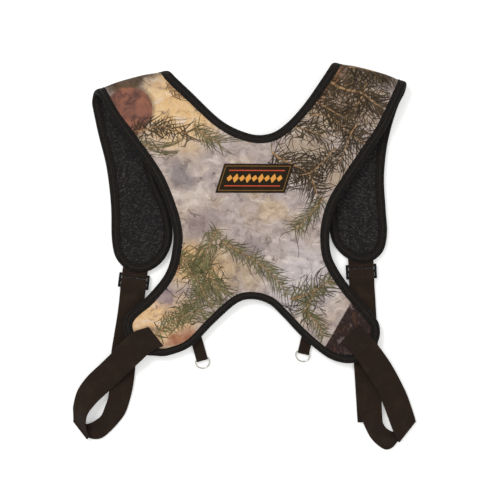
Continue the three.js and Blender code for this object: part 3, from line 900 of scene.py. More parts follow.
# Sprigs of fir needles, on the flat cloth: from, to, how far the stem bows to its left, its half
# width with needles, and its kind: about 0.4 has green needles, from 0.6 up tawny ones, and the
# rest near-black ones.
SPRIGS = [
    ((-109, 125), (-56, 126), 3, 17, 0.1),
    ((-50, 131), (-24, 113), -2, 15, 0.3),
    ((-112, 116), (-84, 108), -2, 12, 0.3),
    ((-148, 168), (-118, 180), 3, 10, 0.05),
    ((-78, 173), (-62, 160), -2, 10, 0.6),
    ((82, 173), (138, 150), 3, 22, 0.05),
    ((66, 140), (122, 112), 6, 22, 0.1),
    ((56, 162), (102, 142), -3, 17, 0.05),
    ((30, 122), (76, 124), 5, 16, 0.1),
    ((30, 106), (78, 56), 4, 24, 0.05),
    ((78, 58), (52, 24), -2, 16, 0.3),
    ((92, 106), (54, 82), 2, 18, 0.02),
    ((112, 132), (92, 88), -2, 15, 0.1),
    ((122, 174), (100, 134), 2, 18, 0.05),
    ((104, 186), (150, 176), 3, 17, 0.02),
    ((84, 160), (110, 174), 2, 14, 0.05),
    ((-70, 2), (-22, -36), 6, 18, 0.4),
    ((-26, 26), (-44, -12), -2, 16, 0.35),
    ((-22, 14), (44, -38), 6, 16, 0.45),
    ((46, -42), (94, -22), -3, 20, 0.3),
    ((-88, -80), (-40, -54), 5, 16, 0.45),
    ((-38, -22), (-66, -62), 3, 17, 0.4),
    ((-58, -6), (-28, -50), -2, 15, 0.4),
    ((60, -52), (80, -82), 2, 15, 0.3),
    ((70, -30), (58, -58), 2, 14, 0.3),
]
NEEDLE_HALF_WIDTH = 17
SPRIG_LAYERS = 3
SPRIGS_UNDER = 11  # tried on each pad's printed side


def more_sprigs():
    """Sprigs for the pads' printed sides, kept where they lie wholly past the fold."""
    chance = np.random.default_rng(31)
    made = []
    for side in SIDES:
        corners = PAD[side].flat(np.array(PADS[side], float))
        low, high = corners.min(axis=0), corners.max(axis=0)
        for _ in range(SPRIGS_UNDER):
            start = low + (high - low) * chance.random(2)
            angle = chance.random() * 2 * math.pi
            length = 34 + 26 * chance.random()
            end = start + length * np.array((math.cos(angle), math.sin(angle)))
            bow = 8 * (chance.random() - 0.5)
            sprig = (tuple(start), tuple(end), bow, 13 + 6 * chance.random(), chance.random())
            past_fold = FOLD[side].strip(np.array((start, end)), False)[:, 1].min()
            if past_fold > TURN:
                made.append(sprig)
    return made


def sprig_place(points, sprig):
    """Where flat points are along and across a sprig, with the stem bowed straight."""
    start, end, bow, half, _ = sprig
    start = np.array(start, float)
    way = np.array(end, float) - start
    length = np.linalg.norm(way)
    way /= length
    u = (points - start) @ way
    v = (points - start) @ np.array((-way[1], way[0]))
    v = v - bow * 4 * (u / length) * (1 - u / length)
    return u, v * NEEDLE_HALF_WIDTH / half, length


FAR_OFF = 1e9


def sprig_layers(sprigs):
    """The sprigs in layers, each in the layer where it has most room."""
    layers = [[] for _ in range(SPRIG_LAYERS)]
    for sprig in sprigs:
        line = np.linspace(sprig[0], sprig[1], 12)
        room = []
        for layer in layers:
            gap = FAR_OFF
            for other in layer:
                along = np.linspace(other[0], other[1], 12)
                d = np.linalg.norm(line[:, None] - along[None], axis=2).min()
                gap = min(gap, d - sprig[3] - other[3])
            room.append(gap)
        layers[int(np.argmax(room))].append(sprig)
    return layers


LAYERS_OF_SPRIGS = sprig_layers(SPRIGS + more_sprigs())


def mark_sprigs(obj):
    """Stores where each face corner is on the sprig that its face belongs to, layer by layer."""
    mesh = obj.data
    flat = np.zeros(len(mesh.loops) * 2, np.float32)
    mesh.uv_layers["flat"].data.foreach_get("uv", flat)
    flat = flat.reshape(-1, 2).astype(float)
    starts = np.zeros(len(mesh.polygons), np.int32)
    totals = np.zeros(len(mesh.polygons), np.int32)
    mesh.polygons.foreach_get("loop_start", starts)
    mesh.polygons.foreach_get("loop_total", totals)
    centres = np.add.reduceat(flat, starts, axis=0) / totals[:, None]
    face_of = np.repeat(np.arange(len(starts)), totals)
    for number, layer in enumerate(LAYERS_OF_SPRIGS):
        values = np.tile(np.array((-100.0, 0.0, 1.0), np.float32), (len(flat), 1))
        best = np.full(len(centres), FAR_OFF)
        for sprig in layer:
            u, v, length = sprig_place(centres, sprig)
            over = np.maximum(np.maximum(-u, u - length), 0)
            off = np.hypot(v, over)
            mine = (off < NEEDLE_HALF_WIDTH + 5) & (off < best)
            best[mine] = off[mine]
            corners = mine[face_of]
            cu, cv, _ = sprig_place(flat[corners], sprig)
            seed = round(length) + sprig[4]
            values[corners] = np.column_stack([cu, cv, np.full(len(cu), seed)])
        made = mesh.attributes.new(f"sprig_{number}", "FLOAT_VECTOR", "CORNER")
        made.data.foreach_set("vector", values.ravel())


# Families of needles: pitch, lean at the root of the sprig and how much more at its tip, reach,
# half width.
NEEDLES = [
    (4.6, 0.6, 0.8, 17, 0.6),
    (5.2, 0.15, 0.5, 17, 0.56),
    (6.1, -0.4, 0.3, 16, 0.53),
    (7.3, 1.3, 0.6, 17, 0.54),
]
NEEDLE_CURL = 0.006
NEEDLE_MISSING = 0.12  # the share of needles left out


def needle_family(n, u, away, side, length, forward, bend, family):
    """One family of a sprig's needles: where they are, their lit middles, and their tone."""
    pitch, lean, lean_more, reach, width = family
    slant = n.times_plus(forward, lean_more, lean)
    slant = n.times_plus(*bend, slant)
    curl = n.times(n.times(away, away), NEEDLE_CURL)
    root = n.minus(n.minus(u, n.times(away, slant)), curl)
    turns = n.times_plus(side, 0.43, n.over(root, pitch))
    key = n.times_plus(side, 331.7, n.times_plus(length, 7.31, pitch))
    key = n.times_plus(n.math("FLOOR", turns), 1.913, key)
    chance = n.random(key)
    tone = n.random(key, 1500.5)
    middle = n.times_plus(n.centred(tone), 0.55, 0.5)
    across = n.math("ABSOLUTE", n.minus(n.math("FRACT", turns), middle))
    across = n.times(across, pitch)
    stretch = n.math("SQRT", n.times_plus(slant, slant, 1.0))
    across = n.over(across, stretch)
    long = n.times(n.times_plus(chance, 0.65, 0.35), reach)
    share = n.over(away, long)
    half = n.times(n.minus(1.0, n.math("POWER", share, 2.6)), width)
    line = n.minus(half, across)
    mask = n.ease(line, -0.14, 0.1)
    mask = n.times(mask, n.ease(root, -1.5, 0.5))
    mask = n.times(mask, n.ease(n.minus(length, root), -1.0, 2.0))
    mask = n.times(mask, n.math("LESS_THAN", away, long))
    mask = n.times(mask, n.math("GREATER_THAN", chance, NEEDLE_MISSING))
    lit = n.times(mask, n.ease(line, 0.1, 0.34))
    return mask, lit, tone


def needle_group():
    """A node group: the needles, stem and shade of the sprig whose coordinates come in."""
    tree = bpy.data.node_groups.new("fir_needles", "ShaderNodeTree")
    tree.interface.new_socket("Place", in_out="INPUT", socket_type="NodeSocketVector")
    for name in ("Needles", "Core", "Tone", "Stem", "Shade"):
        tree.interface.new_socket(name, in_out="OUTPUT", socket_type="NodeSocketFloat")
    n = Nodes(tree)
    ins = n.add("NodeGroupInput")
    outs = n.add("NodeGroupOutput")
    u, v, seed = n.split(ins.outputs[0])
    length = n.math("FLOOR", seed)
    bend = []
    for number in range(3):
        where = n.times_plus(length, 3.7, 50.0 * number)
        where = n.times_plus(u, 0.03, where)
        bend.append(n.centred(n.wave(where)))
    v = n.times_plus(bend[0], 7.0, v)
    side = n.math("GREATER_THAN", v, 0.0)
    away = n.math("ABSOLUTE", v)
    forward = n.over(u, length)
    needles = core = tone = None
    for number, family in enumerate(NEEDLES):
        family_bend = (bend[1], 3.4) if number % 2 == 0 else (bend[2], -3.4)
        mask, lit, other = needle_family(n, u, away, side, length, forward, family_bend, family)
        if needles is None:
            needles, core, tone = mask, lit, other
        else:
            over = n.math("GREATER_THAN", mask, needles)
            tone = n.times_plus(n.minus(other, tone), over, tone)
            core = n.times_plus(n.minus(lit, core), over, core)
            needles = n.math("MAXIMUM", needles, mask)
    thick = n.times_plus(forward, -0.45, 0.85)
    stem = n.ease(n.minus(thick, away), -0.3, 0.25)
    inside = n.ease(u, -2.0, 0.5)
    inside = n.times(inside, n.ease(n.minus(length, u), -0.5, 3.0))
    shade = n.times(n.ease(away, 9.5, 1.5), inside)
    n.feed(outs.inputs["Needles"], needles)
    n.feed(outs.inputs["Core"], core)
    n.feed(outs.inputs["Tone"], tone)
    n.feed(outs.inputs["Stem"], n.times(stem, inside))
    n.feed(outs.inputs["Shade"], shade)
    return tree


# Single needles that lie across each other: their directions, in degrees.
LOOSE_WAYS = (8, 41, 67, 96, 128, 161)
LOOSE_LONG = 24  # the room that each one has, along and across
LOOSE_PITCH = 5.2
LOOSE_HALF = 0.46
# Where they lie: middle, radius, how long and how it is turned, and how many there are.
THICKETS = [
    ((106, 156), 52, 1.35, -0.9, 1.0),
    ((60, 96), 40, 1.3, -0.8, 0.62),
    ((-46, -20), 36, 1.3, -0.7, 0.6),
    ((66, -38), 30, 1.4, 0.5, 0.35),
    ((-92, 116), 22, 1.6, 0.2, 0.4),
]


def loose_group():
    """A node group: needles one way across the cloth, each in a cell of its own."""
    tree = bpy.data.node_groups.new("loose_needles", "ShaderNodeTree")
    for name in ("Along", "Across", "Seed", "Density"):
        tree.interface.new_socket(name, in_out="INPUT", socket_type="NodeSocketFloat")
    for name in ("Needles", "Tone"):
        tree.interface.new_socket(name, in_out="OUTPUT", socket_type="NodeSocketFloat")
    n = Nodes(tree)
    p, q, seed, density = n.add("NodeGroupInput").outputs[:4]
    lane = n.over(q, LOOSE_PITCH)
    row = n.math("FLOOR", lane)
    row_key = n.times_plus(row, 3.177, seed)
    run = n.plus(n.over(p, LOOSE_LONG), n.random(row_key))
    key = n.times_plus(n.math("FLOOR", run), 119.37, row_key)
    chance = n.random(key)
    lean = n.centred(n.random(key, 2000.5))
    bow = n.centred(n.random(key, 4000.5))
    along = n.centred(n.math("FRACT", run))
    across = n.times(n.centred(n.math("FRACT", lane)), LOOSE_PITCH)
    middle = n.times(n.times(along, along), n.times(bow, 9.0))
    middle = n.times_plus(along, n.times(lean, 3.4), middle)
    reach = n.times_plus(chance, 0.22, 0.27)
    share = n.over(n.math("ABSOLUTE", along), reach)
    half = n.minus(1.0, n.math("POWER", share, 3.0))
    half = n.times(half, LOOSE_HALF)
    line = n.minus(half, n.math("ABSOLUTE", n.minus(across, middle)))
    here = n.math("GREATER_THAN", n.times(density, 0.8), n.plus(lean, 0.5))
    mask = n.times(n.ease(line, -0.14, 0.1), here)
    outs = n.add("NodeGroupOutput")
    n.feed(outs.inputs["Needles"], n.times(mask, n.math("LESS_THAN", share, 1.0)))
    n.feed(outs.inputs["Tone"], chance)
    return tree


# Soft patches of the print: middle, radius, how long and how it is turned, colour, strength.
PATCHES = [
    ((-62, 150), 54, 1.3, 0.7, (224, 186, 134), 0.9),
    ((-88, -62), 46, 1.3, -0.6, (222, 184, 138), 0.95),
    ((-52, -8), 30, 1.6, -0.3, (206, 168, 112), 0.85),
    ((-20, -2), 22, 1.6, 0.2, (186, 158, 120), 0.65),
    ((28, 46), 17, 1.3, 0.2, (200, 174, 142), 0.6),
    ((62, -22), 48, 1.5, 0.7, (198, 188, 188), 0.9),
    ((-60, 66), 34, 1.3, -0.9, (206, 190, 176), 0.6),
    ((70, 100), 40, 1.5, -1.0, (170, 152, 134), 0.75),
    ((104, 158), 40, 1.4, -0.9, (146, 122, 100), 0.85),
    ((88, 132), 16, 1.6, 0.4, (186, 160, 122), 0.55),
]
# Darker marks of the print over them, and painted shade along the shoulder folds, in the same order of
# values.
PRINT_MARKS_AND_FOLD_SHADE = [
    ((-42, 32), 19, 1.5, 0.6, (130, 116, 124), 0.62),
    ((-64, 82), 17, 1.4, -0.5, (112, 102, 106), 0.7),
    ((-84, -34), 15, 1.7, -0.7, (126, 114, 128), 0.75),
    ((2, 6), 15, 1.5, 0.4, (122, 110, 112), 0.6),
    ((20, -14), 9, 1.8, -0.7, (128, 118, 116), 0.5),
    ((86, 178), 13, 3.2, -2.2, (146, 88, 56), 0.85),
    ((-62, -84), 12, 1.9, 0.35, (150, 88, 62), 0.8),
    ((-66, -4), 8, 1.6, 0.9, (160, 98, 74), 0.7),
    # The last three lie on the crest of each shoulder fold: painted shade of the cloth turning away, over
    # darker print there.
    ((-114, 174), 13, 3.4, 0.265, (66, 50, 34), 0.92),
    ((-134, 168), 9, 1.6, 0.3, (62, 46, 36), 0.9),
    ((126, 184), 17, 2.9, -0.265, (58, 45, 32), 0.92),
]
GROUND = ((177, 162, 157), (184, 163, 140))
# Rounded brown shapes like stones: middle, radius, how long and how it is turned.
STONES = [((-117, 143), 24, 1.15, 0.9)]
STONE_EDGE = 0.94  # how sharp a stone's edge is
# Bark beyond a straight edge: a point of the edge and the way into the bark.
BARK_AT = (106.5, -46.5)
BARK_WAY = (0.864, -0.504)
# The knit's stitches each way, in radians to the millimetre.
KNIT_WALES = 7.4
KNIT_COURSES = 8.6


def patch_distance(n, x, y, middle, stretch, turn):
    """How far from the middle of a stretched and turned patch."""
    dx = n.minus(x, float(middle[0]))
    dy = n.minus(y, float(middle[1]))
    c, s = math.cos(turn), math.sin(turn)
    along = n.times_plus(dx, c / stretch, n.times(dy, s / stretch))
    across = n.times_plus(dx, -s, n.times(dy, c))
    return n.math("SQRT", n.times_plus(along, along, n.times(across, across)))


def cloth_ground(n, x, y, wx, wy, drift):
    """The print behind the needles: pale stone, sand, shadows, a round stone and bark, with painted shade
    along the shoulder folds and painted shadows of small creases.
    """
    base = n.shade(n.noise(n.join(wx, wy), 1 / 48, 3.0, 0.55), 0.42, 0.66, *GROUND)
    for middle, radius, stretch, turn, shade, strength in PATCHES:
        far = patch_distance(n, wx, wy, middle, stretch, turn)
        base = n.tint(base, far, radius, radius * 0.3, shade, 0.0, strength)
    streaks = n.noise(n.join(wx, n.times(wy, 1.7)), 1 / 17, 6.0, 0.66)
    base = n.tint(base, streaks, 0.3, 0.48, (104, 92, 92), 0.7, 0.0)
    base = n.tint(base, streaks, 0.52, 0.7, (222, 208, 196), 0.0, 0.75)
    for middle, radius, stretch, turn, shade, strength in PRINT_MARKS_AND_FOLD_SHADE:
        far = patch_distance(n, wx, wy, middle, stretch, turn)
        base = n.tint(base, far, radius, radius * 0.35, shade, 0.0, strength)
    # Thin dark lines here and there: painted shadows of small creases in the cloth.
    crease_shade_noise = n.noise(n.join(n.plus(wx, 61.0), wy), 1 / 30, 2.0, 0.5)
    thin = n.ease(n.math("ABSOLUTE", n.centred(crease_shade_noise)), 0.011, 0.002)
    some = n.ease(n.noise(n.join(x, y), 1 / 22, 1.0), 0.5, 0.62, 0.0, 0.55)
    base = n.mix(n.times(thin, some), base, colour(74, 62, 58))
    fleck = n.noise(n.join(n.plus(x, 33.0), y), 1 / 2.2, 3.0, 0.7)
    base = n.tint(base, fleck, 0.6, 0.74, (92, 82, 78), 0.0, 0.5)
    grain = n.noise(n.join(wx, n.plus(wy, 300.0)), 1 / 8, 5.0, 0.72)
    grain = n.mix(n.ease(grain, 0.3, 0.7), (0.2, 0.2, 0.2, 1), (0.78, 0.78, 0.78, 1))
    base = n.mix(0.6, base, grain, "SOFT_LIGHT")
    base = round_stones(n, base, x, y, wx, wy, drift, streaks)
    into = n.times(n.minus(y, BARK_AT[1]), BARK_WAY[1])
    into = n.times_plus(n.minus(x, BARK_AT[0]), BARK_WAY[0], into)
    ridges = n.noise(n.join(wx, n.times(wy, 0.45)), 1 / 5, 5.0, 0.7)
    bark = n.shade(ridges, 0.54, 0.72, (46, 35, 33), (128, 108, 102))
    bark = n.tint(bark, ridges, 0.36, 0.5, (84, 58, 46), 0.7, 0.0)
    return n.mix(n.ease(into, -0.8, 0.6), base, bark)


def round_stones(n, base, x, y, wx, wy, drift, streaks):
    """Blotched stones with a soft shade round them."""
    for middle, radius, stretch, turn in STONES:
        sx = n.times_plus(drift[0], 0.18, x)
        sy = n.times_plus(drift[1], 0.18, y)
        far = patch_distance(n, sx, sy, middle, stretch, turn)
        blotch = n.noise(n.join(n.plus(wx, 80.0), wy), 1 / 15, 4.0, 0.65)
        stone = n.shade(blotch, 0.38, 0.64, (88, 62, 58), (148, 98, 78))
        stone = n.tint(stone, streaks, 0.45, 0.65, (126, 86, 74), 0.0, 0.45)
        base = n.tint(base, far, radius * 1.15, radius, (96, 74, 54), 0.0, 0.55)
        base = n.mix(n.ease(far, radius, radius * STONE_EDGE), base, stone)
    return base


def loose_needles(n, base, x, y, wx, wy, drift):
    """Single needles lying across each other in the thickets."""
    density = 0.0
    for middle, radius, stretch, turn, strength in THICKETS:
        far = patch_distance(n, wx, wy, middle, stretch, turn)
        density = n.math("MAXIMUM", n.ease(far, radius, radius * 0.5, 0.0, strength), density)
    sx = n.times_plus(drift[0], 0.3, x)
    sy = n.times_plus(drift[1], 0.3, y)
    group = loose_group()
    for degrees in LOOSE_WAYS:
        c, s = math.cos(math.radians(degrees)), math.sin(math.radians(degrees))
        along = n.times_plus(sx, c, n.times(sy, s))
        across = n.times_plus(sx, -s, n.times(sy, c))
        node = n.add("ShaderNodeGroup", node_tree=group)
        for socket, value in zip(node.inputs, (along, across, float(degrees), density)):
            n.feed(socket, value)
        needles, tone = node.outputs
        shade = n.shade(tone, 0.5, 0.8, (38, 31, 23), (104, 88, 60))
        base = n.mix(n.times(needles, 0.9), base, shade)
    return base


def fir_sprigs(n, base, fuzz):
    """The sprigs, one layer over another."""
    group = needle_group()
    for number in range(SPRIG_LAYERS):
        node = n.add("ShaderNodeGroup", node_tree=group)
        place = n.attribute(f"sprig_{number}")
        n.feed(node.inputs[0], place)
        needles, core, tone, stem, shadow = node.outputs
        kind = n.math("FRACT", n.split(place)[2])
        green = n.ease(n.math("ABSOLUTE", n.minus(kind, 0.4)), 0.22, 0.04)
        haze = n.mix(green, colour(84, 70, 58), colour(84, 82, 52))
        thick = n.times(shadow, n.ease(fuzz, 0.36, 0.6, 0.05, 0.5))
        thick = n.times(thick, n.times_plus(green, 0.7, 0.3))
        base = n.mix(thick, base, haze)
        edge = n.mix(tone, colour(26, 21, 15), colour(52, 42, 30))
        fill = n.mix(tone, colour(46, 38, 27), colour(84, 70, 50))
        fill = n.mix(green, fill, n.mix(tone, colour(92, 92, 58), colour(140, 134, 92)))
        fill = n.tint(fill, kind, 0.5, 0.6, (132, 98, 66))
        base = n.mix(n.times(needles, 0.95), base, n.mix(core, edge, fill))
        wood = n.shade(fuzz, 0.38, 0.62, (88, 64, 44), (176, 140, 102))
        base = n.mix(n.times(stem, 0.9), base, wood)
    return base


def printed_material():
    """Brushed knit with the print. The print's shapes are bent a little by broad noise."""
    material, n, shader = new_material("printed_cloth", 0.9, sheen=0.04, specular=0.12)
    flat = n.uv("flat")
    x, y, _ = n.split(flat)
    bends = n.split(n.noise(flat, 1 / 26, 4.0, 0.6, color=True))
    drift = [n.times(n.centred(bends[i]), 30.0) for i in range(2)]
    wx = n.plus(x, drift[0])
    wy = n.plus(y, drift[1])
    base = cloth_ground(n, x, y, wx, wy, drift)
    base = loose_needles(n, base, x, y, wx, wy, drift)
    base = fir_sprigs(n, base, n.noise(flat, 1 / 3.2, 3.0, 0.7))
    n.feed(shader.inputs["Base Color"], base)
    rows = n.math("SINE", n.times(x, KNIT_WALES))
    knit = n.times(rows, n.math("SINE", n.times(y, KNIT_COURSES)))
    nap = n.noise(flat, 2.2, 3.0, 0.6)
    height = n.times_plus(knit, 0.35, nap)
    bump = n.bump(height, 0.00012, 0.7)
    wrinkles = n.noise(flat, 1 / 17, 3.0, 0.5, 0.8)
    n.feed(shader.inputs["Normal"], n.bump(wrinkles, 0.0016, 0.6, bump))
    n.feed(shader.inputs["Roughness"], n.ease(nap, 0.2, 0.8, 0.78, 0.95))
    return material


# ---- the other materials ----


def tape_material():
    """Ribbed binding tape, with its own coordinates along and across."""
    material, n, shader = new_material("edge_tape", 0.85, sheen=0.03, specular=0.14)
    along, across, _ = n.split(n.uv("strip"))
    ribs = n.ribs(along, 0.95)
    threads = n.ribs(across, 0.62)
    worn = n.noise(n.join(along, n.times(across, 3.0)), 0.22, 4.0, 0.62)
    height = n.plus(n.times(ribs, 0.5), n.times(threads, 0.25))
    height = n.plus(height, worn)
    base = n.shade(ribs, -1.0, 1.0, (8, 7, 6), (27, 23, 20))
    base = n.tint(base, worn, 0.45, 0.75, (44, 38, 34), 0.0, 0.5)
    # A paler band along the crest of the tape on each face, just past its rounded edge: painted
    # highlight.
    ridge = n.math("ABSOLUTE", n.minus(n.math("ABSOLUTE", across), 4.6))
    base = n.tint(base, ridge, 1.6, 0.3, (46, 40, 36), 0.0, 0.45)
    n.dress(shader, base, n.bump(height, 0.0002, 0.8), n.ease(worn, 0.3, 0.7, 0.84, 0.66))
    return material


def web_material():
    """Flat woven webbing: a fine herringbone of thick warp threads."""
    warp_pitch = 1.55
    material, n, shader = new_material("webbing", 0.85, sheen=0.03, specular=0.14)
    along, across, _ = n.split(n.uv("strip"))
    column = n.over(across, warp_pitch)
    way = n.times_plus(n.math("PINGPONG", n.math("FLOOR", column), 1.0), 2.0, -1.0)
    slanted = n.times(n.math("FRACT", column), warp_pitch)
    twill = n.ribs(n.times_plus(slanted, way, along), 1.15)
    groove = n.math("ABSOLUTE", n.math("SINE", n.times(column, math.pi)))
    fibre = n.join(n.times(along, 0.5), n.times(across, 4.0))
    fibre = n.noise(fibre, 1.2, 3.0, 0.6)
    worn = n.noise(n.join(along, across), 0.06, 3.0, 0.55)
    height = n.plus(n.times(twill, 0.4), n.times(groove, 0.9))
    height = n.plus(height, n.times(fibre, 0.5))
    base = n.shade(twill, -1.0, 1.0, (24, 15, 10), (54, 39, 28))
    base = n.tint(base, groove, 0.0, 0.45, (12, 9, 8), 0.7, 0.0)
    base = n.tint(base, worn, 0.45, 0.75, (64, 49, 38), 0.0, 0.35)
    n.dress(shader, base, n.bump(height, 0.00028, 0.8), n.ease(fibre, 0.3, 0.7, 0.88, 0.7))
    return material


def lining_material():
    """Spacer mesh: staggered holes in a near-black knit, with lighter threads here and there."""
    pitch = 1.5
    material, n, shader = new_material("mesh_lining", 0.85, sheen=0.03, specular=0.16)
    x, y, _ = n.split(n.uv("flat"))
    row = n.over(y, pitch / 2)
    stagger = n.times(n.math("PINGPONG", n.math("FLOOR", row), 1.0), 0.5)
    column = n.plus(n.over(x, pitch), stagger)
    cell_x = n.centred(n.math("FRACT", column))
    cell_y = n.times(n.centred(n.math("FRACT", row)), 0.72)
    hole = n.ease(n.vector("LENGTH", n.join(cell_x, cell_y)), 0.34, 0.2)
    cell = n.times_plus(n.math("FLOOR", row), 613.7, n.math("FLOOR", column))
    chance = n.random(cell)
    thread = n.noise(n.uv("flat"), 1.7, 3.0, 0.65)
    base = n.shade(thread, 0.3, 0.7, (18, 15, 14), (38, 34, 32))
    bright = n.shade(chance, 0.75, 0.95, (54, 50, 52), (92, 86, 84))
    lit = n.times(n.ease(chance, 0.15, 0.75), n.ease(thread, 0.38, 0.56))
    base = n.mix(lit, base, bright)
    base = n.mix(hole, base, colour(6, 6, 7))
    height = n.times_plus(thread, 0.4, n.minus(1.0, hole))
    n.dress(shader, base, n.bump(height, 0.0004, 0.9), n.ease(thread, 0.3, 0.7, 0.95, 0.75))
    return material


def foam_material():
    """Grey open-cell foam."""
    material, n, shader = new_material("foam_core", 0.95, specular=0.2)
    pores = n.cells(place_vector(n), 1.6)
    n.dress(shader, n.shade(pores, 0.1, 0.6, (30, 31, 33), (66, 68, 70)), n.bump(pores, 0.0003, 0.8))
    return material


def thread_material(name, low, high, rough=0.6):
    """Twisted thread."""
    material, n, shader = new_material(name, rough, sheen=0.03, specular=0.2)
    twist = n.noise(place_vector(n), 2.6, 2.0, 0.6)
    n.dress(shader, n.shade(twist, 0.3, 0.7, low, high), n.bump(twist, 0.0001, 0.7))
    return material


def label_material():
    """Woven satin ground: fine ribs across, with a little shine."""
    material, n, shader = new_material("woven_label", 0.7, sheen=0.03, specular=0.15)
    along, across, _ = n.split(n.uv("strip"))
    weft = n.ribs(across, 0.55)
    warp = n.ribs(along, 0.4)
    cloud = n.noise(n.join(along, across), 0.12, 3.0, 0.6)
    base = n.shade(weft, -1.0, 1.0, (22, 15, 6), (44, 33, 14))
    base = n.tint(base, cloud, 0.4, 0.7, (58, 44, 18), 0.0, 0.4)
    height = n.times_plus(warp, 0.4, weft)
    n.dress(shader, base, n.bump(height, 0.0001, 0.7))
    return material


def metal_material():
    """Nickel plate, with fine scratches and dull spots."""
    material, n, shader = new_material("plated_wire", 0.24, metallic=1.0)
    place = place_vector(n)
    cloud = n.noise(place, 0.5, 4.0, 0.6)
    scratch = n.noise(n.vector("MULTIPLY", place, (1, 1, 9)), 2.0, 3.0, 0.7)
    plate = n.shade(cloud, 0.3, 0.7, (196, 192, 184), (226, 224, 219))
    n.dress(shader, plate, n.bump(scratch, 0.00003, 0.5), n.ease(scratch, 0.35, 0.7, 0.16, 0.36))
    return material


def moulded_material():
    """Black acetal, a little grained."""
    material, n, shader = new_material("moulded_lock", 0.5, specular=0.16)
    place = place_vector(n)
    grain = n.noise(place, 3.2, 3.0, 0.6)
    cloud = n.noise(place, 0.3, 2.0, 0.5)
    n.dress(
        shader,
        n.shade(cloud, 0.3, 0.7, (9, 8, 8), (20, 18, 17)),
        n.bump(grain, 0.00006, 0.6),
        n.ease(grain, 0.3, 0.7, 0.62, 0.48),
    )
    return material


PRINT = printed_material()
TAPE = tape_material()
WEBBING = web_material()
LINED = lining_material()
FOAM = foam_material()
THREAD = thread_material("black_thread", (16, 14, 13), (54, 49, 45))
GOLD = thread_material("gold_thread", (196, 118, 36), (240, 176, 84), 0.5)
BRONZE = thread_material("bronze_thread", (96, 66, 26), (150, 108, 50), 0.55)
EMBER = thread_material("red_thread", (168, 52, 30), (224, 92, 62), 0.5)
LABELLED = label_material()
PLATED = metal_material()
MOULDED = moulded_material()

# ---- the padded sheets ----


def offset_rows(part, inset, step):
    """The edge of the sheet inside its tape."""
    line = part["q"] + inset * part["in"]
    return resampled(line, step)


def fold_grid(side, across, step):
    """The fold's chart points in rows round the fold, from its outer edge to its neck edge."""
    edges = []
    for edge in ("outer", "neck"):
        part = LOOP[f"{side}_fold_{edge}"]
        line = part["q"] + EDGE_INSET * part["in"]
        edges.append(line[np.argsort(line[:, 1])])
    long = TURN + 2 * STRIP_REACH
    rows = np.linspace(-STRIP_REACH, TURN + STRIP_REACH, max(3, round(long / step) + 1))
    share = np.linspace(0, 1, across + 1)
    grid = []
    for s in rows:
        t0, t1 = (np.interp(s, line[:, 1], line[:, 0]) for line in edges)
        grid.append(np.column_stack([t0 + (t1 - t0) * share, np.full(across + 1, s)]))
    return np.array(grid)


def seam_points(side, under, across):
    """Where the fold piece meets the yoke or the pad, from the outer edge to the neck edge."""
    row = fold_grid(side, across, 5)[-1 if under else 0]
    return FOLD[side].solid(row, np.zeros(len(row)))[:, :2]


def yoke_outline(step):
    """The yoke's outline inside its tape, with its points on the seams shared with the folds."""
    across = round(STRIP_WIDTH / step)
    right = seam_points("right", False, across)[::-1]
    left = seam_points("left", False, across)
    neck = offset_rows(LOOP["neck"], EDGE_INSET, step)
    side = offset_rows(LOOP["side"], EDGE_INSET, step)
    return np.vstack([neck[1:-1], right, side[1:-1], left])


def pad_outline(side, step):
    """A pad's outline inside its tape, with its points on the seam shared with the fold."""
    across = round(STRIP_WIDTH / step)
    seam = seam_points(side, True, across)
    edge = offset_rows(LOOP[f"{side}_pad"], EDGE_INSET, step)
    from_neck = np.linalg.norm(edge[0] - seam[-1]) < np.linalg.norm(edge[0] - seam[0])
    return np.vstack([edge[1:-1], seam if from_neck else seam[::-1]])


def grid_faces(rows, columns):
    """Faces between the points of a grid."""
    faces = []
    for i in range(rows - 1):
        for j in range(columns - 1):
            a = i * columns + j
            faces.append((a, a + 1, a + columns + 1, a + columns))
    return faces


EDGES_OF = {
    "yoke": ("neck", "side"),
    "left_pad": ("left_pad",),
    "right_pad": ("right_pad",),
    "left_fold": ("left_fold_outer", "left_fold_neck"),
    "right_fold": ("right_fold_outer", "right_fold_neck"),
}
CHART_OF = {
    "yoke": YOKE,
    "left_pad": PAD["left"],
    "right_pad": PAD["right"],
    "left_fold": FOLD["left"],
    "right_fold": FOLD["right"],
}


def lie_of(panel, q):
    """How a panel lies off its level at chart points."""
    if panel == "yoke":
        return yoke_lie(q)
    if panel.endswith("pad"):
        return pad_lie(panel.split("_")[0], q)
    return np.zeros(len(q))


def panel_points(panel, step):
    """The chart points and faces of a panel."""
    if panel.endswith("fold"):
        grid = fold_grid(panel.split("_")[0], round(STRIP_WIDTH / step), step * 0.7)
        faces = grid_faces(grid.shape[0], grid.shape[1])
        return grid.reshape(-1, 2), faces
    outline = yoke_outline(step) if panel == "yoke" else pad_outline(panel.split("_")[0], step)
    return filled(outline, step)


def panel_heights(panel, q):
    """The heights of the printed face and of the lining face."""
    far, arc = nearest_edge(q, EDGES_OF[panel])
    lie = lie_of(panel, q)
    top = face_height(far, arc, YOKE_CROWN) + lie
    bottom = -face_height(far, arc + 3, LINING_CROWN) + lie
    return top, bottom


def ride_or_blend(obj, panel):
    """A fold keeps its place, with its transform baked in. Another panel rides on its own body."""
    if panel.endswith("fold"):
        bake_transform(obj)
    else:
        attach(obj, "yoke" if panel == "yoke" else "front_pads")


# Layers of a panel: CAD name, piece name, spacing of its points, material and slot.
LAYERS = (
    ("shell", "shell_cloth", PANEL_STEP, PRINT, "printed_shell"),
    ("foam", "foam_core", FOAM_STEP, FOAM, "foam_core"),
    ("lining", "lining_cloth", LINING_STEP, LINED, "mesh_lining"),
)


def layer_heights(layer, top, bottom):
    """The upper and lower heights of a layer between the panel's two faces."""
    if layer == "shell":
        return top, top - SHELL
    if layer == "foam":
        return top - SHELL - FOAM_CLEAR, bottom + LINING + FOAM_CLEAR
    return bottom + LINING, bottom


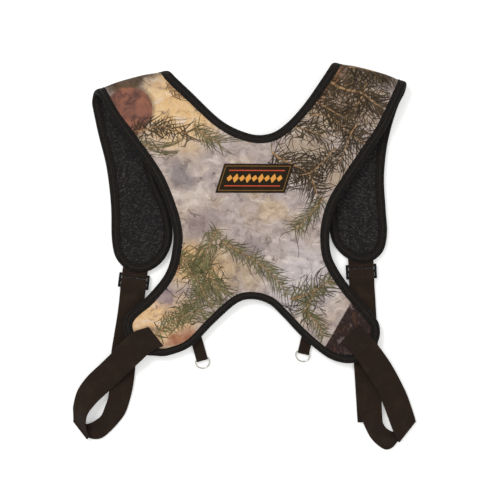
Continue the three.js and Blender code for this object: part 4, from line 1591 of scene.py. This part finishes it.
def make_panel(panel):
    """The shell, foam and lining of a panel."""
    chart = CHART_OF[panel]
    for layer, piece, step, material, slot in LAYERS:
        q, faces = panel_points(panel, step)
        heights = layer_heights(layer, *panel_heights(panel, q))
        obj = closed_layer(f"{panel}_{piece}", chart, q, faces, *heights, material)
        if layer == "shell":
            mark_sprigs(obj)
        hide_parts(f"{panel}_{layer}")
        ride_or_blend(obj, panel)


for panel_name in CHART_OF:
    make_panel(panel_name)


# ---- threads, tape and webbing ----


def tube_along(points, normals, radii, sides=6):
    """Rings of a thread round points, with closed ends. Returns its points and faces."""
    way = unit(np.gradient(points, axis=0))
    across = unit(np.cross(normals, way))
    up = unit(np.cross(way, across))
    verts = []
    for p, a, b, r in zip(points, across, up, radii):
        for j in range(sides):
            angle = 2 * math.pi * j / sides
            verts.append(p + r * (math.cos(angle) * a + math.sin(angle) * b))
    return np.array(verts), ring_faces(len(points), sides) + end_faces(len(points), sides)


# A stitch from end to end: shares of its length, then height and thickness in thread radii.
STITCH_ALONG = np.array((-0.5, -0.36, 0.0, 0.36, 0.5))
STITCH_LIFT = np.array((-1.3, 0.1, 0.45, 0.1, -1.3))
STITCH_THICK = np.array((0.55, 0.95, 1.0, 0.95, 0.55))


def stitches(line, normals, pitch=STITCH_PITCH, long=STITCH_LENGTH, radius=STITCH_R):
    """Stitches along a line that lies on the cloth: each one dips into it at both ends."""
    along = arcs(line)
    count = int(along[-1] / pitch)
    parts = Parts()
    start = (along[-1] - count * pitch) / 2 + pitch / 2
    for i in range(count):
        at = start + i * pitch + STITCH_ALONG * long
        spot = np.stack([np.interp(at, along, line[:, k]) for k in range(3)], axis=1)
        up = unit(np.stack([np.interp(at, along, normals[:, k]) for k in range(3)], axis=1))
        lift = STITCH_LIFT[:, None] * radius
        parts.add(0, *tube_along(spot + up * lift, up, STITCH_THICK * radius))
    return np.vstack([np.zeros((0, 3)), *parts.verts]), parts.faces


TAPE_NOSE = 2.95  # half the tape's thickness just behind its rounded edge
TAPE_NOSE_LONG = 3.4
TAPE_SEAM = 2.0  # how far from the tape's lip its stitches run


def tape_height(v, width, wave):
    """Height of the tape's outer face at a distance v from the edge."""
    nose = TAPE_NOSE * (1 - (1 - np.clip(v / TAPE_NOSE_LONG, 0, 1)) ** 2.3) ** (1 / 2.3)
    seam = 0.4 * np.exp(-(((v - width + TAPE_SEAM) / 0.8) ** 2))
    gathers = 0.1 * wave * smooth(v / 4)
    droop = 0.25 * smooth((v - 2.5) / np.maximum(width - 2.5, 1))
    return nose - seam - droop + gathers


# Shares of the tape's width at which its outer and its inner face have points.
TAPE_OUTER = (0, 0.02, 0.06, 0.12, 0.2, 0.32, 0.45, 0.58, 0.68, 0.74, 0.8, 0.86, 0.93, 0.98, 1.0)
TAPE_INNER = (0.25, 0.6, 0.99)


def tape_outline():
    """Once round the folded tape: share of its width, printed side or lining side, inner or not."""
    outline = [(f, 1, 0) for f in TAPE_OUTER[::-1]]
    outline += [(f, -1, 0) for f in TAPE_OUTER[1:]]
    outline += [(f, -1, 1) for f in TAPE_INNER[::-1]]
    outline.append((0.07, 0, 1))
    outline += [(f, 1, 1) for f in TAPE_INNER]
    return outline


def make_binding(name, part, panel, node):
    """A tape folded round one part of the edge, with a row of stitches on each face."""
    q, inward, arc = part["q"], part["in"], part["arc"]
    chart = part["chart"]
    wave = ripple(arc)
    width = part["width"] + 0.3 * wander(arc, 17, 2.0)
    rings = []
    strip = []
    for f, sign, inner in tape_outline():
        v = f * width
        high = tape_height(v, width, wave)
        high = np.where(f >= 1.0, high - 0.3, high)
        if inner:
            high = np.maximum(high - TAPE_THICK, 0.4)
        if inner and sign == 0:
            high = high * 0
            v = np.full(len(v), 0.75)
        at = q + v[:, None] * inward
        rings.append(chart.solid(at, sign * high + lie_of(panel, at)))
        strip.append(np.column_stack([arc, sign * v]))
    parts = Parts()
    parts.add(0, *ring_body(rings, strip, tape_cap))
    for sign in (1, -1):
        v = width - TAPE_SEAM
        high = tape_height(v, width, wave)
        at = q + v[:, None] * inward
        base = chart.solid(at, sign * high + lie_of(panel, at))
        lifted = chart.solid(at, sign * (high + 1) + lie_of(panel, at))
        parts.add(1, *stitches(base, unit(lifted - base)))
    obj = parts.make(name, [TAPE, THREAD], 60)
    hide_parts(node)
    ride_or_blend(obj, panel)


def tape_cap(start, total):
    """Faces that close the end of a folded tape, between its outer and its inner outline."""
    faces = []
    outer = len(TAPE_OUTER) * 2 - 1
    inner = total - outer
    ins = [start + total - 1 - i for i in range(inner)]
    outs = [start + i for i in range(outer)]
    i = j = 0
    while i < outer - 1 or j < inner - 1:
        if j == inner - 1 or (i < outer - 1 and (i + 1) / (outer - 1) <= (j + 1) / (inner - 1)):
            faces.append((outs[i], outs[i + 1], ins[j]))
            i += 1
        else:
            faces.append((outs[i], ins[j + 1], ins[j]))
            j += 1
    return faces


for panel_name, edge_names in EDGES_OF.items():
    for edge_name in edge_names:
        node_name = f"{edge_name}_binding"
        make_binding(f"{node_name}_tape", LOOP[edge_name], panel_name, node_name)


EDGE_WAVE = 0.12  # how far a webbing's edge rises and falls
EDGE_WAVE_LONG = 19
LOWER_STRIP = 40  # the lower face's strip coordinates are this far from the upper face's


def web_section(width, thick, ribs=10):
    """A webbing's outline: across from 0 to 1, and height from -0.5 to 0.5 of its thickness."""
    edge = thick / 2 / width
    upper = []
    for i in range(5):
        angle = math.pi * (1 - i / 8)
        upper.append((edge + edge * math.cos(angle), 0.5 * math.sin(angle)))
    for i in range(1, ribs):
        upper.append((edge + (1 - 2 * edge) * i / ribs, 0.5))
    for i in range(5):
        angle = math.pi * (0.5 - i / 8)
        upper.append((1 - edge + edge * math.cos(angle), 0.5 * math.sin(angle)))
    lower = [(f, -h) for f, h in reversed(upper[1:-1])]
    return upper + lower


def web_cap(start, total):
    """Faces that close the end of a webbing, between its upper and its lower outline."""
    faces = []
    for j in range(total // 2):
        quad = [j, j + 1]
        quad += [x for x in (total - j - 1, (total - j) % total) if x not in (j, j + 1)]
        if len(quad) > 2:
            faces.append(tuple(start + x for x in quad))
    return faces


def web_body(a, b, face, width, thick, start=0.0):
    """Webbing through sections: its points, faces and strip coordinates, and how far it has come."""
    section = web_section(width, thick)
    middle = (a + b) / 2
    along = start + arcs(middle)
    edge_wave = EDGE_WAVE * wander(along, EDGE_WAVE_LONG, 3.0)
    rings, strip = [], []
    for f, h in section:
        bow = edge_wave * (4 * (f - 0.5) ** 2)
        rings.append(a + (b - a) * f + face * (h * thick + bow)[:, None])
        across = f * width + (0 if h >= 0 else LOWER_STRIP)
        strip.append(np.column_stack([along, np.full(len(along), across)]))
    return *ring_body(rings, strip, web_cap), along[-1]


def facing_of(a, b, first):
    """Unit directions off the face of webbing, turning smoothly from the first one."""
    run = np.gradient((a + b) / 2, axis=0)
    face = unit(np.cross(b - a, run))
    if face[0] @ np.array(first, float) < 0:
        face[0] = -face[0]
    for i in range(1, len(face)):
        if face[i] @ face[i - 1] < 0:
            face[i] = -face[i]
    return face


def placed(spot, u, v, z):
    """A side view's point: u down the strap, v across it, z up."""
    dx, dy = spot["down"]
    return np.array((spot["at"][0] + u * dx - v * dy, spot["at"][1] + u * dy + v * dx, z))


CREASE_STEPS = 10
BAR_STEPS = 12  # round the lock's middle bar
RETURN_STEP = 1.0


def return_rows(side):
    """Edge points of the strap from its crease, through the lock and back to the tail's end."""
    lock = LOCKS[side]
    half = WEB_WIDTH / 2 if side == "left" else -WEB_WIDTH / 2
    path = list(OVER_LOCK)
    for i in range(BAR_STEPS + 1):
        angle = math.pi / 2 + math.pi * i / BAR_STEPS
        u = LOCK_MIDDLE_U + BAR_TURN_R * math.cos(angle)
        path.append((u, LOCK_MID_Z + BAR_TURN_R * math.sin(angle)))
    path += UNDER_LOCK
    rows = list(RETURN_RUNS[side])
    for u, z in path:
        rows.append((*placed(lock, u, -half, z), *placed(lock, u, half, z)))
    ax, ay, bx, by = TAIL_ENDS[side]
    rows.append((ax, ay, TAIL_Z, bx, by, TAIL_Z))
    return rows


def crease_sections(ua, ub, ra, rb):
    """Edges and faces of the turn between the end of the upper run and the start of the return."""
    across = ub - ua
    across[2] = 0
    across /= np.linalg.norm(across)
    out = np.array((across[1], -across[0], 0))
    out = out if out[1] < 0 else -out
    ca, cb, cf = [], [], []
    for i in range(1, CREASE_STEPS):
        angle = math.pi * i / CREASE_STEPS
        face = out * math.sin(angle) + np.array((0, 0, 1)) * math.cos(angle)
        for edges, p, q in ((ca, ua, ra), (cb, ub, rb)):
            edges.append((p + q) / 2 + face * abs(p[2] - q[2]) / 2)
        cf.append(face)
    return ca, cb, cf


def strap_sections(side):
    """The edges and faces of the whole strap, and where its crease starts and ends."""
    upper = spline(UPPER_RUNS[side], STRAP_STEP)
    ua, ub = upper[:, :3], upper[:, 3:]
    uf = facing_of(ua, ub, (0, 0, 1))
    back = spline(return_rows(side), RETURN_STEP)
    ra, rb = back[:, :3], back[:, 3:]
    rf = facing_of(ra, rb, (0, 0, -1))
    ca, cb, cf = crease_sections(ua[-1], ub[-1], ra[0], rb[0])
    a = np.vstack([ua, ca, ra])
    b = np.vstack([ub, cb, rb])
    face = np.vstack([uf, cf, rf])
    return a, b, face, len(ua), len(ua) + CREASE_STEPS - 1


def box_stitch(corners, inset, lift, face):
    """Stitch lines of a box with a cross, inside four corners of a patch."""
    middle = np.mean(corners, axis=0)
    inner = [c + (middle - c) * inset for c in corners]
    lines = [(inner[i], inner[(i + 1) % 4]) for i in range(4)]
    lines += [(inner[0], inner[2]), (inner[1], inner[3])]
    parts = []
    for p, q in lines:
        count = max(4, int(np.linalg.norm(q - p)))
        line = np.linspace(p + face * lift, q + face * lift, count)
        normals = np.tile(face, (count, 1))
        parts.append(stitches(line, normals, BOX_STITCH_PITCH, BOX_STITCH_LONG, STITCH_R))
    return parts


# Distances down each strap, measured from a point on the arm, a way down the strap: a start and an end,
# with the crease in between. The points there are worked out, but nothing bends at them.
STRAP_BLENDS = {
    "left": {"from": (-88.5, -79.5), "way": (-0.738, -0.675), "crease": 119.5, "start": 20, "end": 40},
    "right": {"from": (106.3, -76.9), "way": (0.774, -0.633), "crease": 106.3, "start": 20, "end": 25},
}
# Two distances from the lock's bar for the piece in the lock; the points there are worked out but not
# used.
LOCK_BLEND = (13, 24)
BOX_LONG = 21
BOX_INSET = 0.16  # how far the box is inside its patch, as a share of the way to the middle
BOX_STITCH_PITCH = 2.9
BOX_STITCH_LONG = 2.2


def blend_point(side, far):
    data = STRAP_BLENDS[side]
    x = data["from"][0] + far * data["way"][0]
    y = data["from"][1] + far * data["way"][1]
    return (x * MM, y * MM, 0)


def blend_strap(obj, side, name):
    """Bakes a piece of the strap's transform in place. The two points between which it would bend are
    worked out but not used.
    """
    data = STRAP_BLENDS[side]
    if name == "lock":
        near, beyond = (tuple(placed(LOCKS[side], u, 0, 0) * MM) for u in LOCK_BLEND)
        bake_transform(obj)
        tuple(near)
        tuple(beyond)
        return
    if name == "upper":
        ends = data["start"], 2 * data["crease"] - data["start"]
    else:
        ends = 2 * data["crease"] - data["end"], data["end"]
    near, beyond = (blend_point(side, far) for far in ends)
    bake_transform(obj)
    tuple(near)
    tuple(beyond)


def make_strap(side):
    """The adjuster strap in three pieces: its upper run, its return run and its lock piece."""
    a, b, face, crease0, crease1 = strap_sections(side)
    middle = (a + b) / 2
    past_crease = np.arange(len(a)) > crease1 + 20
    after = np.flatnonzero(past_crease & (middle[:, 1] > STRAP_SPLIT_Y))[0]
    crease = (crease0 + crease1) // 2
    spans = {"upper": (0, crease + 1), "return": (crease, after + 1), "lock": (after, len(a))}
    start = 0.0
    for name, (i, j) in spans.items():
        verts, faces, strip, start = web_body(a[i:j], b[i:j], face[i:j], WEB_WIDTH, WEB, start)
        parts = Parts()
        parts.add(0, verts, faces, strip)
        if name == "upper":
            end = np.searchsorted(arcs(middle[:crease]), BOX_LONG)
            corners = [a[1], b[1], b[end], a[end]]
            for made in box_stitch(corners, BOX_INSET, WEB / 2 + 0.05, face[3]):
                parts.add(1, *made)
        obj = parts.make(f"{side}_strap_{name}", [WEBBING, THREAD], 60)
        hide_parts(f"{side}_adjuster_strap")
        blend_strap(obj, side, name)


for side_name in SIDES:
    make_strap(side_name)


# ---- tabs: webbing folded round a bar ----


def tab_path(length, z, bar_r, layer):
    """The middle line of a tab in its side view: in along the top, round the bar, and back."""
    r = bar_r + GAP + layer / 2
    open_angle = math.asin(min(0.95, (layer / 2) / r))
    flat = (-length, -length * 0.6, -r * 1.9)
    path = [(u, z + layer / 2) for u in flat]
    for i in range(17):
        angle = math.pi - open_angle - (2 * math.pi - 2 * open_angle) * i / 16
        path.append((r * math.cos(angle), z + r * math.sin(angle)))
    path += [(u, z - layer / 2) for u in reversed(flat)]
    return np.array(path)


def make_tab(name, spot, length, z, bar_r, layer, width, body, node, seam_u):
    """A tab of webbing, with a row of stitches across it on both faces."""
    path = tab_path(length, z, bar_r, layer)
    dense = resampled(path, 0.35)
    a = np.array([placed(spot, u, -width / 2, h) for u, h in dense])
    b = np.array([placed(spot, u, width / 2, h) for u, h in dense])
    face = facing_of(a, b, (0, 0, 1))
    verts, faces, strip, _ = web_body(a, b, face, width, layer * 0.94)
    parts = Parts()
    parts.add(0, verts, faces, strip)
    across = np.linspace(-0.42, 0.42, 12) * width
    for sign in (1, -1):
        line = np.array([placed(spot, seam_u, v, z + sign * (layer + 0.03)) for v in across])
        parts.add(1, *stitches(line, np.tile((0, 0, sign), (12, 1)), 2.2, 1.7, 0.2))
    obj = parts.make(name, [WEBBING, THREAD], 60)
    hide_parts(node)
    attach(obj, body)


# ---- D-rings and ladder locks ----

RING_CORNER = 1.6
RING_STRAIGHT = 3  # how far a ring's sides run straight from its bar


def ring_line():
    """The middle line of a D-ring in its own plane: across, and away from its bar."""
    half = RING_INSIDE / 2 + RING_WIRE_R
    points = [(-half + RING_CORNER, 0), (half - RING_CORNER, 0)]
    for i in range(1, 9):
        t = i / 8
        points.append((half - RING_CORNER * (1 - t) ** 2, RING_CORNER * t**2))
    for i in range(25):
        angle = math.pi * i / 24
        away = RING_STRAIGHT + (RING_DEPTH - RING_STRAIGHT) * math.sin(angle)
        points.append((half * math.cos(angle), away))
    for i in range(8):
        t = 1 - i / 8
        points.append((-half + RING_CORNER * (1 - t) ** 2, RING_CORNER * t**2))
    return np.array(points)


def make_ring(side, sides=14):
    """A D-ring of round wire, drooping a little from its tab."""
    ring = RINGS[side]
    line = ring_line()
    line = resampled(np.vstack([line, line[:1]]), 0.5)[:-1]
    way = unit(np.roll(line, -1, axis=0) - np.roll(line, 1, axis=0))
    outward = np.column_stack([way[:, 1], -way[:, 0]])
    verts = []
    for spot, out in zip(line, outward):
        for j in range(sides):
            angle = 2 * math.pi * j / sides
            v, u = spot + RING_WIRE_R * math.cos(angle) * out
            z = RING_WIRE_R * math.sin(angle)
            down = u * math.cos(RING_DROOP) - z * math.sin(RING_DROOP)
            height = RING_Z - u * math.sin(RING_DROOP) + z * math.cos(RING_DROOP)
            verts.append(placed(ring, down, v, height))
    verts = np.array(verts)
    faces = facing_out(verts, ring_faces(len(line), sides, closed=True))
    obj = new_mesh(f"{side}_d_ring_wire", verts, faces, [PLATED])
    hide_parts(f"{side}_d_ring")
    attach(obj, f"{side}_ring")


def rounded_block(low, high, r, steps=4):
    """A block with rounded edges: its points and faces."""
    low, high = np.array(low, float), np.array(high, float)
    middle = (low + high) / 2
    half = (high - low) / 2
    n = 2 * steps + 2
    # A cube's faces, each a grid whose outer cells bend round the edges.
    ticks = [-1 + 0.5 * i / steps for i in range(steps + 1)]
    ticks += [-t for t in reversed(ticks)]
    verts, faces = [], []
    seen = {}

    def point(p):
        """The number of the point for a cube's surface point, made if it's new."""
        key = tuple(np.round(p, 6))
        if key not in seen:
            core = np.clip(np.array(p) * 2, -1, 1) * (half - r)
            out = np.array([math.copysign(max(abs(c) - 0.5, 0.0) * 2, c) for c in p])
            length = np.linalg.norm(out)
            seen[key] = len(verts)
            verts.append(middle + core + (out / length * r if length > 0 else 0))
        return seen[key]

    for axis in range(3):
        for sign in (-1, 1):
            for i in range(n - 1):
                for j in range(n - 1):
                    quad = []
                    for s, t in ((i, j), (i + 1, j), (i + 1, j + 1), (i, j + 1)):
                        p = [0.0, 0.0, 0.0]
                        p[axis] = float(sign)
                        p[(axis + 1) % 3] = ticks[s]
                        p[(axis + 2) % 3] = ticks[t]
                        quad.append(point(p))
                    if sign < 0:
                        quad.reverse()
                    faces.append(tuple(quad))
    return np.array(verts), faces


def bar(u, z, r, half, sides=20):
    """A round bar across a lock, whose ends are inside the rails."""
    v_at = np.linspace(-half, half, 14)
    verts = []
    for v in v_at:
        for j in range(sides):
            angle = 2 * math.pi * j / sides
            verts.append((u + r * math.cos(angle), v, z + r * math.sin(angle)))
    return np.array(verts), ring_faces(len(v_at), sides) + end_faces(len(v_at), sides)


LOCK_BAR_INSET = 1.2
GRIP_COUNT = 9
GRIP_PITCH = 2.7


def lock_solids():
    """The lock's bars, rails and grip ribs in its side view: points and faces of each."""
    half = LOCK_WIDTH / 2
    rail_half = LOCK_BAR_R + 0.2
    solids = []
    for u in (0, LOCK_MIDDLE_U, LOCK_LIP_U):
        solids.append(bar(u, LOCK_MID_Z, LOCK_BAR_R, half - LOCK_BAR_INSET))
    # The thin rib: a dark piece where there is only shade, hiding the floor through the gap.
    solids.append(bar(LOCK_SHADE_RIB_U, LOCK_MID_Z - 0.8, LOCK_SHADE_RIB_R, half - LOCK_BAR_INSET))
    for v in (-half, half - LOCK_RAIL):
        low = (-LOCK_END, v, LOCK_MID_Z - rail_half)
        high = (LOCK_LIP_U + LOCK_END, v + LOCK_RAIL, LOCK_MID_Z + rail_half)
        solids.append(rounded_block(low, high, 0.8))
    for k in range(GRIP_COUNT):
        v = (k - GRIP_COUNT // 2) * GRIP_PITCH
        low = (LOCK_LIP_U + 0.55, v - 0.5, LOCK_MID_Z - 1.0)
        high = (LOCK_LIP_U + 1.35, v + 0.5, LOCK_MID_Z + 1.0)
        solids.append(rounded_block(low, high, 0.3, 2))
    return solids


def make_lock(side):
    """A ladder lock: two rails, three bars, a thin rib that stands in for the shade in the gap behind the
    tab, and a ribbed lip.
    """
    parts = Parts()
    for verts, faces in lock_solids():
        parts.add(0, verts, facing_out(verts, faces))
    verts = np.array([placed(LOCKS[side], u, v, z) for u, v, z in np.vstack(parts.verts)])
    faces = facing_out(verts, parts.faces)
    obj = new_mesh(f"{side}_ladder_lock_frame", verts, faces, [MOULDED], parts.kinds, sharp=40)
    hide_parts(f"{side}_ladder_lock")
    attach(obj, f"{side}_lock")


RING_TAB_SEAM_U = -3.2
LOCK_TAB_SEAM_U = -11

for side_name in SIDES:
    ring_spot = RINGS[side_name]
    make_ring(side_name)
    make_tab(f"{side_name}_ring_tab_web", ring_spot, ring_spot["tongue"], RING_Z, RING_WIRE_R, RING_TAB,
             RING_TAB_WIDTH, "yoke", f"{side_name}_ring_tab", RING_TAB_SEAM_U)
    make_lock(side_name)
    make_tab(f"{side_name}_lock_tab_web", LOCKS[side_name], LOCK_TONGUE, LOCK_MID_Z, LOCK_BAR_R, LOCK_TAB,
             WEB_WIDTH, "front_pads", f"{side_name}_lock_tab", LOCK_TAB_SEAM_U)


# ---- the label ----


def label_point(f, g):
    """A flat point of the label: f along it and g up it, each from 0 to 1."""
    c = np.array(LABEL_CORNERS)
    f, g = np.asarray(f)[:, None], np.asarray(g)[:, None]
    return (c[0] * (1 - f) + c[1] * f) * (1 - g) + (c[3] * (1 - f) + c[2] * f) * g


def on_label(f, g, lift):
    """Points a little above the printed face under the label."""
    q = label_point(f, g)
    far, arc = nearest_edge(q, EDGES_OF["yoke"])
    top = face_height(far, arc, YOKE_CROWN) + yoke_lie(q)
    return YOKE.solid(q, top + lift)


LABEL_LONG = 69.4
LABEL_HIGH = 30.4
BLOCK_STEP = 1.2
BLOCK_SOFT = 0.35  # how wide a block's soft edge is
LABEL_UNDER = 0.05  # the label's underside, over the cloth
BORDER_INSET = 2.1
BORDER_WIDTH = 0.75
BORDER_HIGH = 0.22
MOTIF_HIGH = 0.2
# The label's middle motif, in shares of its length and height.
LOZENGES = 9
LOZENGES_FROM = 0.14
LOZENGES_TO = 0.86
LOZENGE_HALF_LONG = 0.042
LOZENGE_HALF_HIGH = (0.12, 0.17)  # every other one is taller
RED_LINES = (0.22, 0.75)
RED_LINE_WIDTH = 0.035
# One corner and its neighbours, from the tip round: a lozenge with short flat ends.
LOZENGE_RING = ((1, 0), (0.14, 0.86), (-0.14, 0.86), (-1, 0), (-0.14, -0.86), (0.14, -0.86))
STITCH_RING = ((0.012, 0.028), (0.988, 0.028), (0.988, 0.972), (0.012, 0.972), (0.012, 0.028))


def label_block(f0, f1, g0, g1, base, thick):
    """A raised woven block on the label, with soft edges."""
    nf = max(2, round((f1 - f0) * LABEL_LONG / BLOCK_STEP))
    ng = max(2, round((g1 - g0) * LABEL_HIGH / BLOCK_STEP))
    soft_f = BLOCK_SOFT / LABEL_LONG
    soft_g = BLOCK_SOFT / LABEL_HIGH
    fs = np.concatenate([[f0, f0 + soft_f], np.linspace(f0, f1, nf + 1)[1:-1], [f1 - soft_f, f1]])
    gs = np.concatenate([[g0, g0 + soft_g], np.linspace(g0, g1, ng + 1)[1:-1], [g1 - soft_g, g1]])
    ff, gg = np.meshgrid(fs, gs)
    rim = np.zeros(ff.shape, bool)
    rim[0], rim[-1], rim[:, 0], rim[:, -1] = True, True, True, True
    ff, gg, rim = ff.ravel(), gg.ravel(), rim.ravel()
    top = on_label(ff, gg, base + np.where(rim, thick * 0.45, thick))
    low = on_label(ff, gg, np.full(ff.size, base))
    verts = np.vstack([top, low])
    body = slab_faces(grid_faces(len(gs), len(fs)), ff.size)
    strip = np.column_stack([np.tile(ff, 2) * LABEL_LONG, np.tile(gg, 2) * LABEL_HIGH])
    return verts, facing_out(verts, body), strip


def lozenge_block(f, g, half_f, half_g, base, thick):
    """A raised woven lozenge on the label, leaning with the label's ends."""
    count = len(LOZENGE_RING)
    spots = np.array([(f + half_f * c, g + half_g * d) for c, d in LOZENGE_RING] + [(f, g)])
    heights = base + np.array([thick * 0.5] * count + [thick])
    top = on_label(spots[:, 0], spots[:, 1], heights)
    low = on_label(spots[:, 0], spots[:, 1], np.full(count + 1, base))
    verts = np.vstack([top, low])
    body = slab_faces([(i, (i + 1) % count, count) for i in range(count)], count + 1)
    return verts, facing_out(verts, body), np.tile(spots * (LABEL_LONG, LABEL_HIGH), (2, 1))


def make_label():
    """The woven label: a bronze border, gold lozenges between two red lines, stitches round it."""
    parts = Parts()
    parts.add(0, *label_block(0, 1, 0, 1, LABEL_UNDER, LABEL_THICK - 0.1))
    face = LABEL_THICK - 0.08
    inset_f, inset_g = BORDER_INSET / LABEL_LONG, BORDER_INSET / LABEL_HIGH
    line_f, line_g = BORDER_WIDTH / LABEL_LONG, BORDER_WIDTH / LABEL_HIGH
    for g0 in (inset_g, 1 - inset_g - line_g):
        parts.add(1, *label_block(inset_f, 1 - inset_f, g0, g0 + line_g, face, BORDER_HIGH))
    for f0 in (inset_f, 1 - inset_f - line_f):
        parts.add(1, *label_block(f0, f0 + line_f, inset_g, 1 - inset_g, face, BORDER_HIGH))
    for k, middle in enumerate(np.linspace(LOZENGES_FROM, LOZENGES_TO, LOZENGES)):
        half_high = LOZENGE_HALF_HIGH[k % 2]
        parts.add(2, *lozenge_block(middle, 0.5, LOZENGE_HALF_LONG, half_high, face, MOTIF_HIGH))
    for g0 in RED_LINES:
        parts.add(3, *label_block(0.1, 0.9, g0, g0 + RED_LINE_WIDTH, face, MOTIF_HIGH))
    t = np.linspace(0, 1, 24)
    for (f0, g0), (f1, g1) in zip(STITCH_RING, STITCH_RING[1:]):
        lift = np.full(len(t), LABEL_THICK - 0.02)
        line = on_label(f0 + (f1 - f0) * t, g0 + (g1 - g0) * t, lift)
        parts.add(4, *stitches(line, np.tile((0.0, 0.0, 1.0), (len(t), 1)), 2.6, 2.0, 0.2))
    obj = parts.make("label_woven", [LABELLED, BRONZE, GOLD, EMBER, THREAD], 50)
    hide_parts("label_patch")
    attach(obj, "yoke")


make_label()

# ---- floor, light and camera ----


FLOOR_HALF = 3.0
FLOOR_DOWN = 0.0002  # just under the object
FLOOR_GLOW = 0.3
WHITE = (1, 1, 1, 1)
SKY = (1.0, 0.995, 0.985, 1)
SKY_STRENGTH = 0.6
# Name, place, size and power of each light. All point at the middle of the object.
LIGHTS = [
    ("key", (-0.75, 0.85, 1.25), 0.6, 12),
    ("fill", (0.9, -0.3, 1.3), 1.2, 4),
]


def floor_material():
    """Near-white paper that glows a little, so that it stays white under the shadows."""
    material, n, shader = new_material("floor", 0.75, specular=0.2)
    cloud = n.noise(n.add("ShaderNodeTexCoord").outputs["Object"], 2.0, 2.0)
    paper = n.mix(cloud, (0.955, 0.955, 0.95, 1), (0.97, 0.97, 0.965, 1))
    n.feed(shader.inputs["Base Color"], paper)
    shader.inputs["Emission Color"].default_value = WHITE
    shader.inputs["Emission Strength"].default_value = FLOOR_GLOW
    return material


def make_floor():
    """A plain sheet under the object, which isn't part of it."""
    mesh = bpy.data.meshes.new("floor")
    corners = [(FLOOR_HALF * x, FLOOR_HALF * y, 0) for x, y in ((-1, -1), (1, -1), (1, 1), (-1, 1))]
    mesh.from_pydata(corners, [], [(0, 1, 2, 3)])
    mesh.materials.append(floor_material())
    floor = bpy.data.objects.new("floor", mesh)
    floor.location.z = -FLOOR_DOWN
    bpy.context.scene.collection.objects.link(floor)


def make_world():
    """Soft light from all round. Seen straight on, it is plain white, as bright as the floor."""
    world = bpy.data.worlds.new("studio")
    world.use_nodes = True
    n = Nodes(world.node_tree)
    light = world.node_tree.nodes["Background"]
    light.inputs["Color"].default_value = SKY
    light.inputs["Strength"].default_value = SKY_STRENGTH
    seen = n.add("ShaderNodeBackground")
    seen.inputs["Color"].default_value = WHITE
    choose = n.add("ShaderNodeMixShader")
    n.feed(choose.inputs[0], n.add("ShaderNodeLightPath").outputs["Is Camera Ray"])
    n.feed(choose.inputs[1], light.outputs[0])
    n.feed(choose.inputs[2], seen.outputs[0])
    n.feed(world.node_tree.nodes["World Output"].inputs["Surface"], choose.outputs[0])
    bpy.context.scene.world = world


def area_light(name, place, size, power):
    """A square light that points at the middle of the object."""
    light = bpy.data.lights.new(name, "AREA")
    light.energy = power
    light.size = size
    obj = bpy.data.objects.new(name, light)
    obj.location = place
    obj.rotation_mode = "QUATERNION"
    obj.rotation_quaternion = (-Vector(place)).to_track_quat("-Z", "Y")
    bpy.context.scene.collection.objects.link(obj)


make_floor()
make_world()
for light_row in LIGHTS:
    area_light(*light_row)

bpy.context.scene.view_settings.view_transform = "Standard"
bpy.context.scene.view_settings.look = "None"

# The view is straight down, half a metre across, from a long lens.
VIEW_MIDDLE = (0.0055, 0.0065)
VIEW_LEVEL = 0.012
VIEW_SPAN = 0.5
SENSOR = 36
LENS = 100
FAR_CLIP = 20
lens = bpy.data.cameras.new("camera")
lens.sensor_width = SENSOR
lens.lens = LENS
lens.clip_end = FAR_CLIP
camera = bpy.data.objects.new("camera", lens)
camera.location = (*VIEW_MIDDLE, VIEW_LEVEL + VIEW_SPAN * LENS / SENSOR)
bpy.context.scene.collection.objects.link(camera)
bpy.context.scene.camera = camera
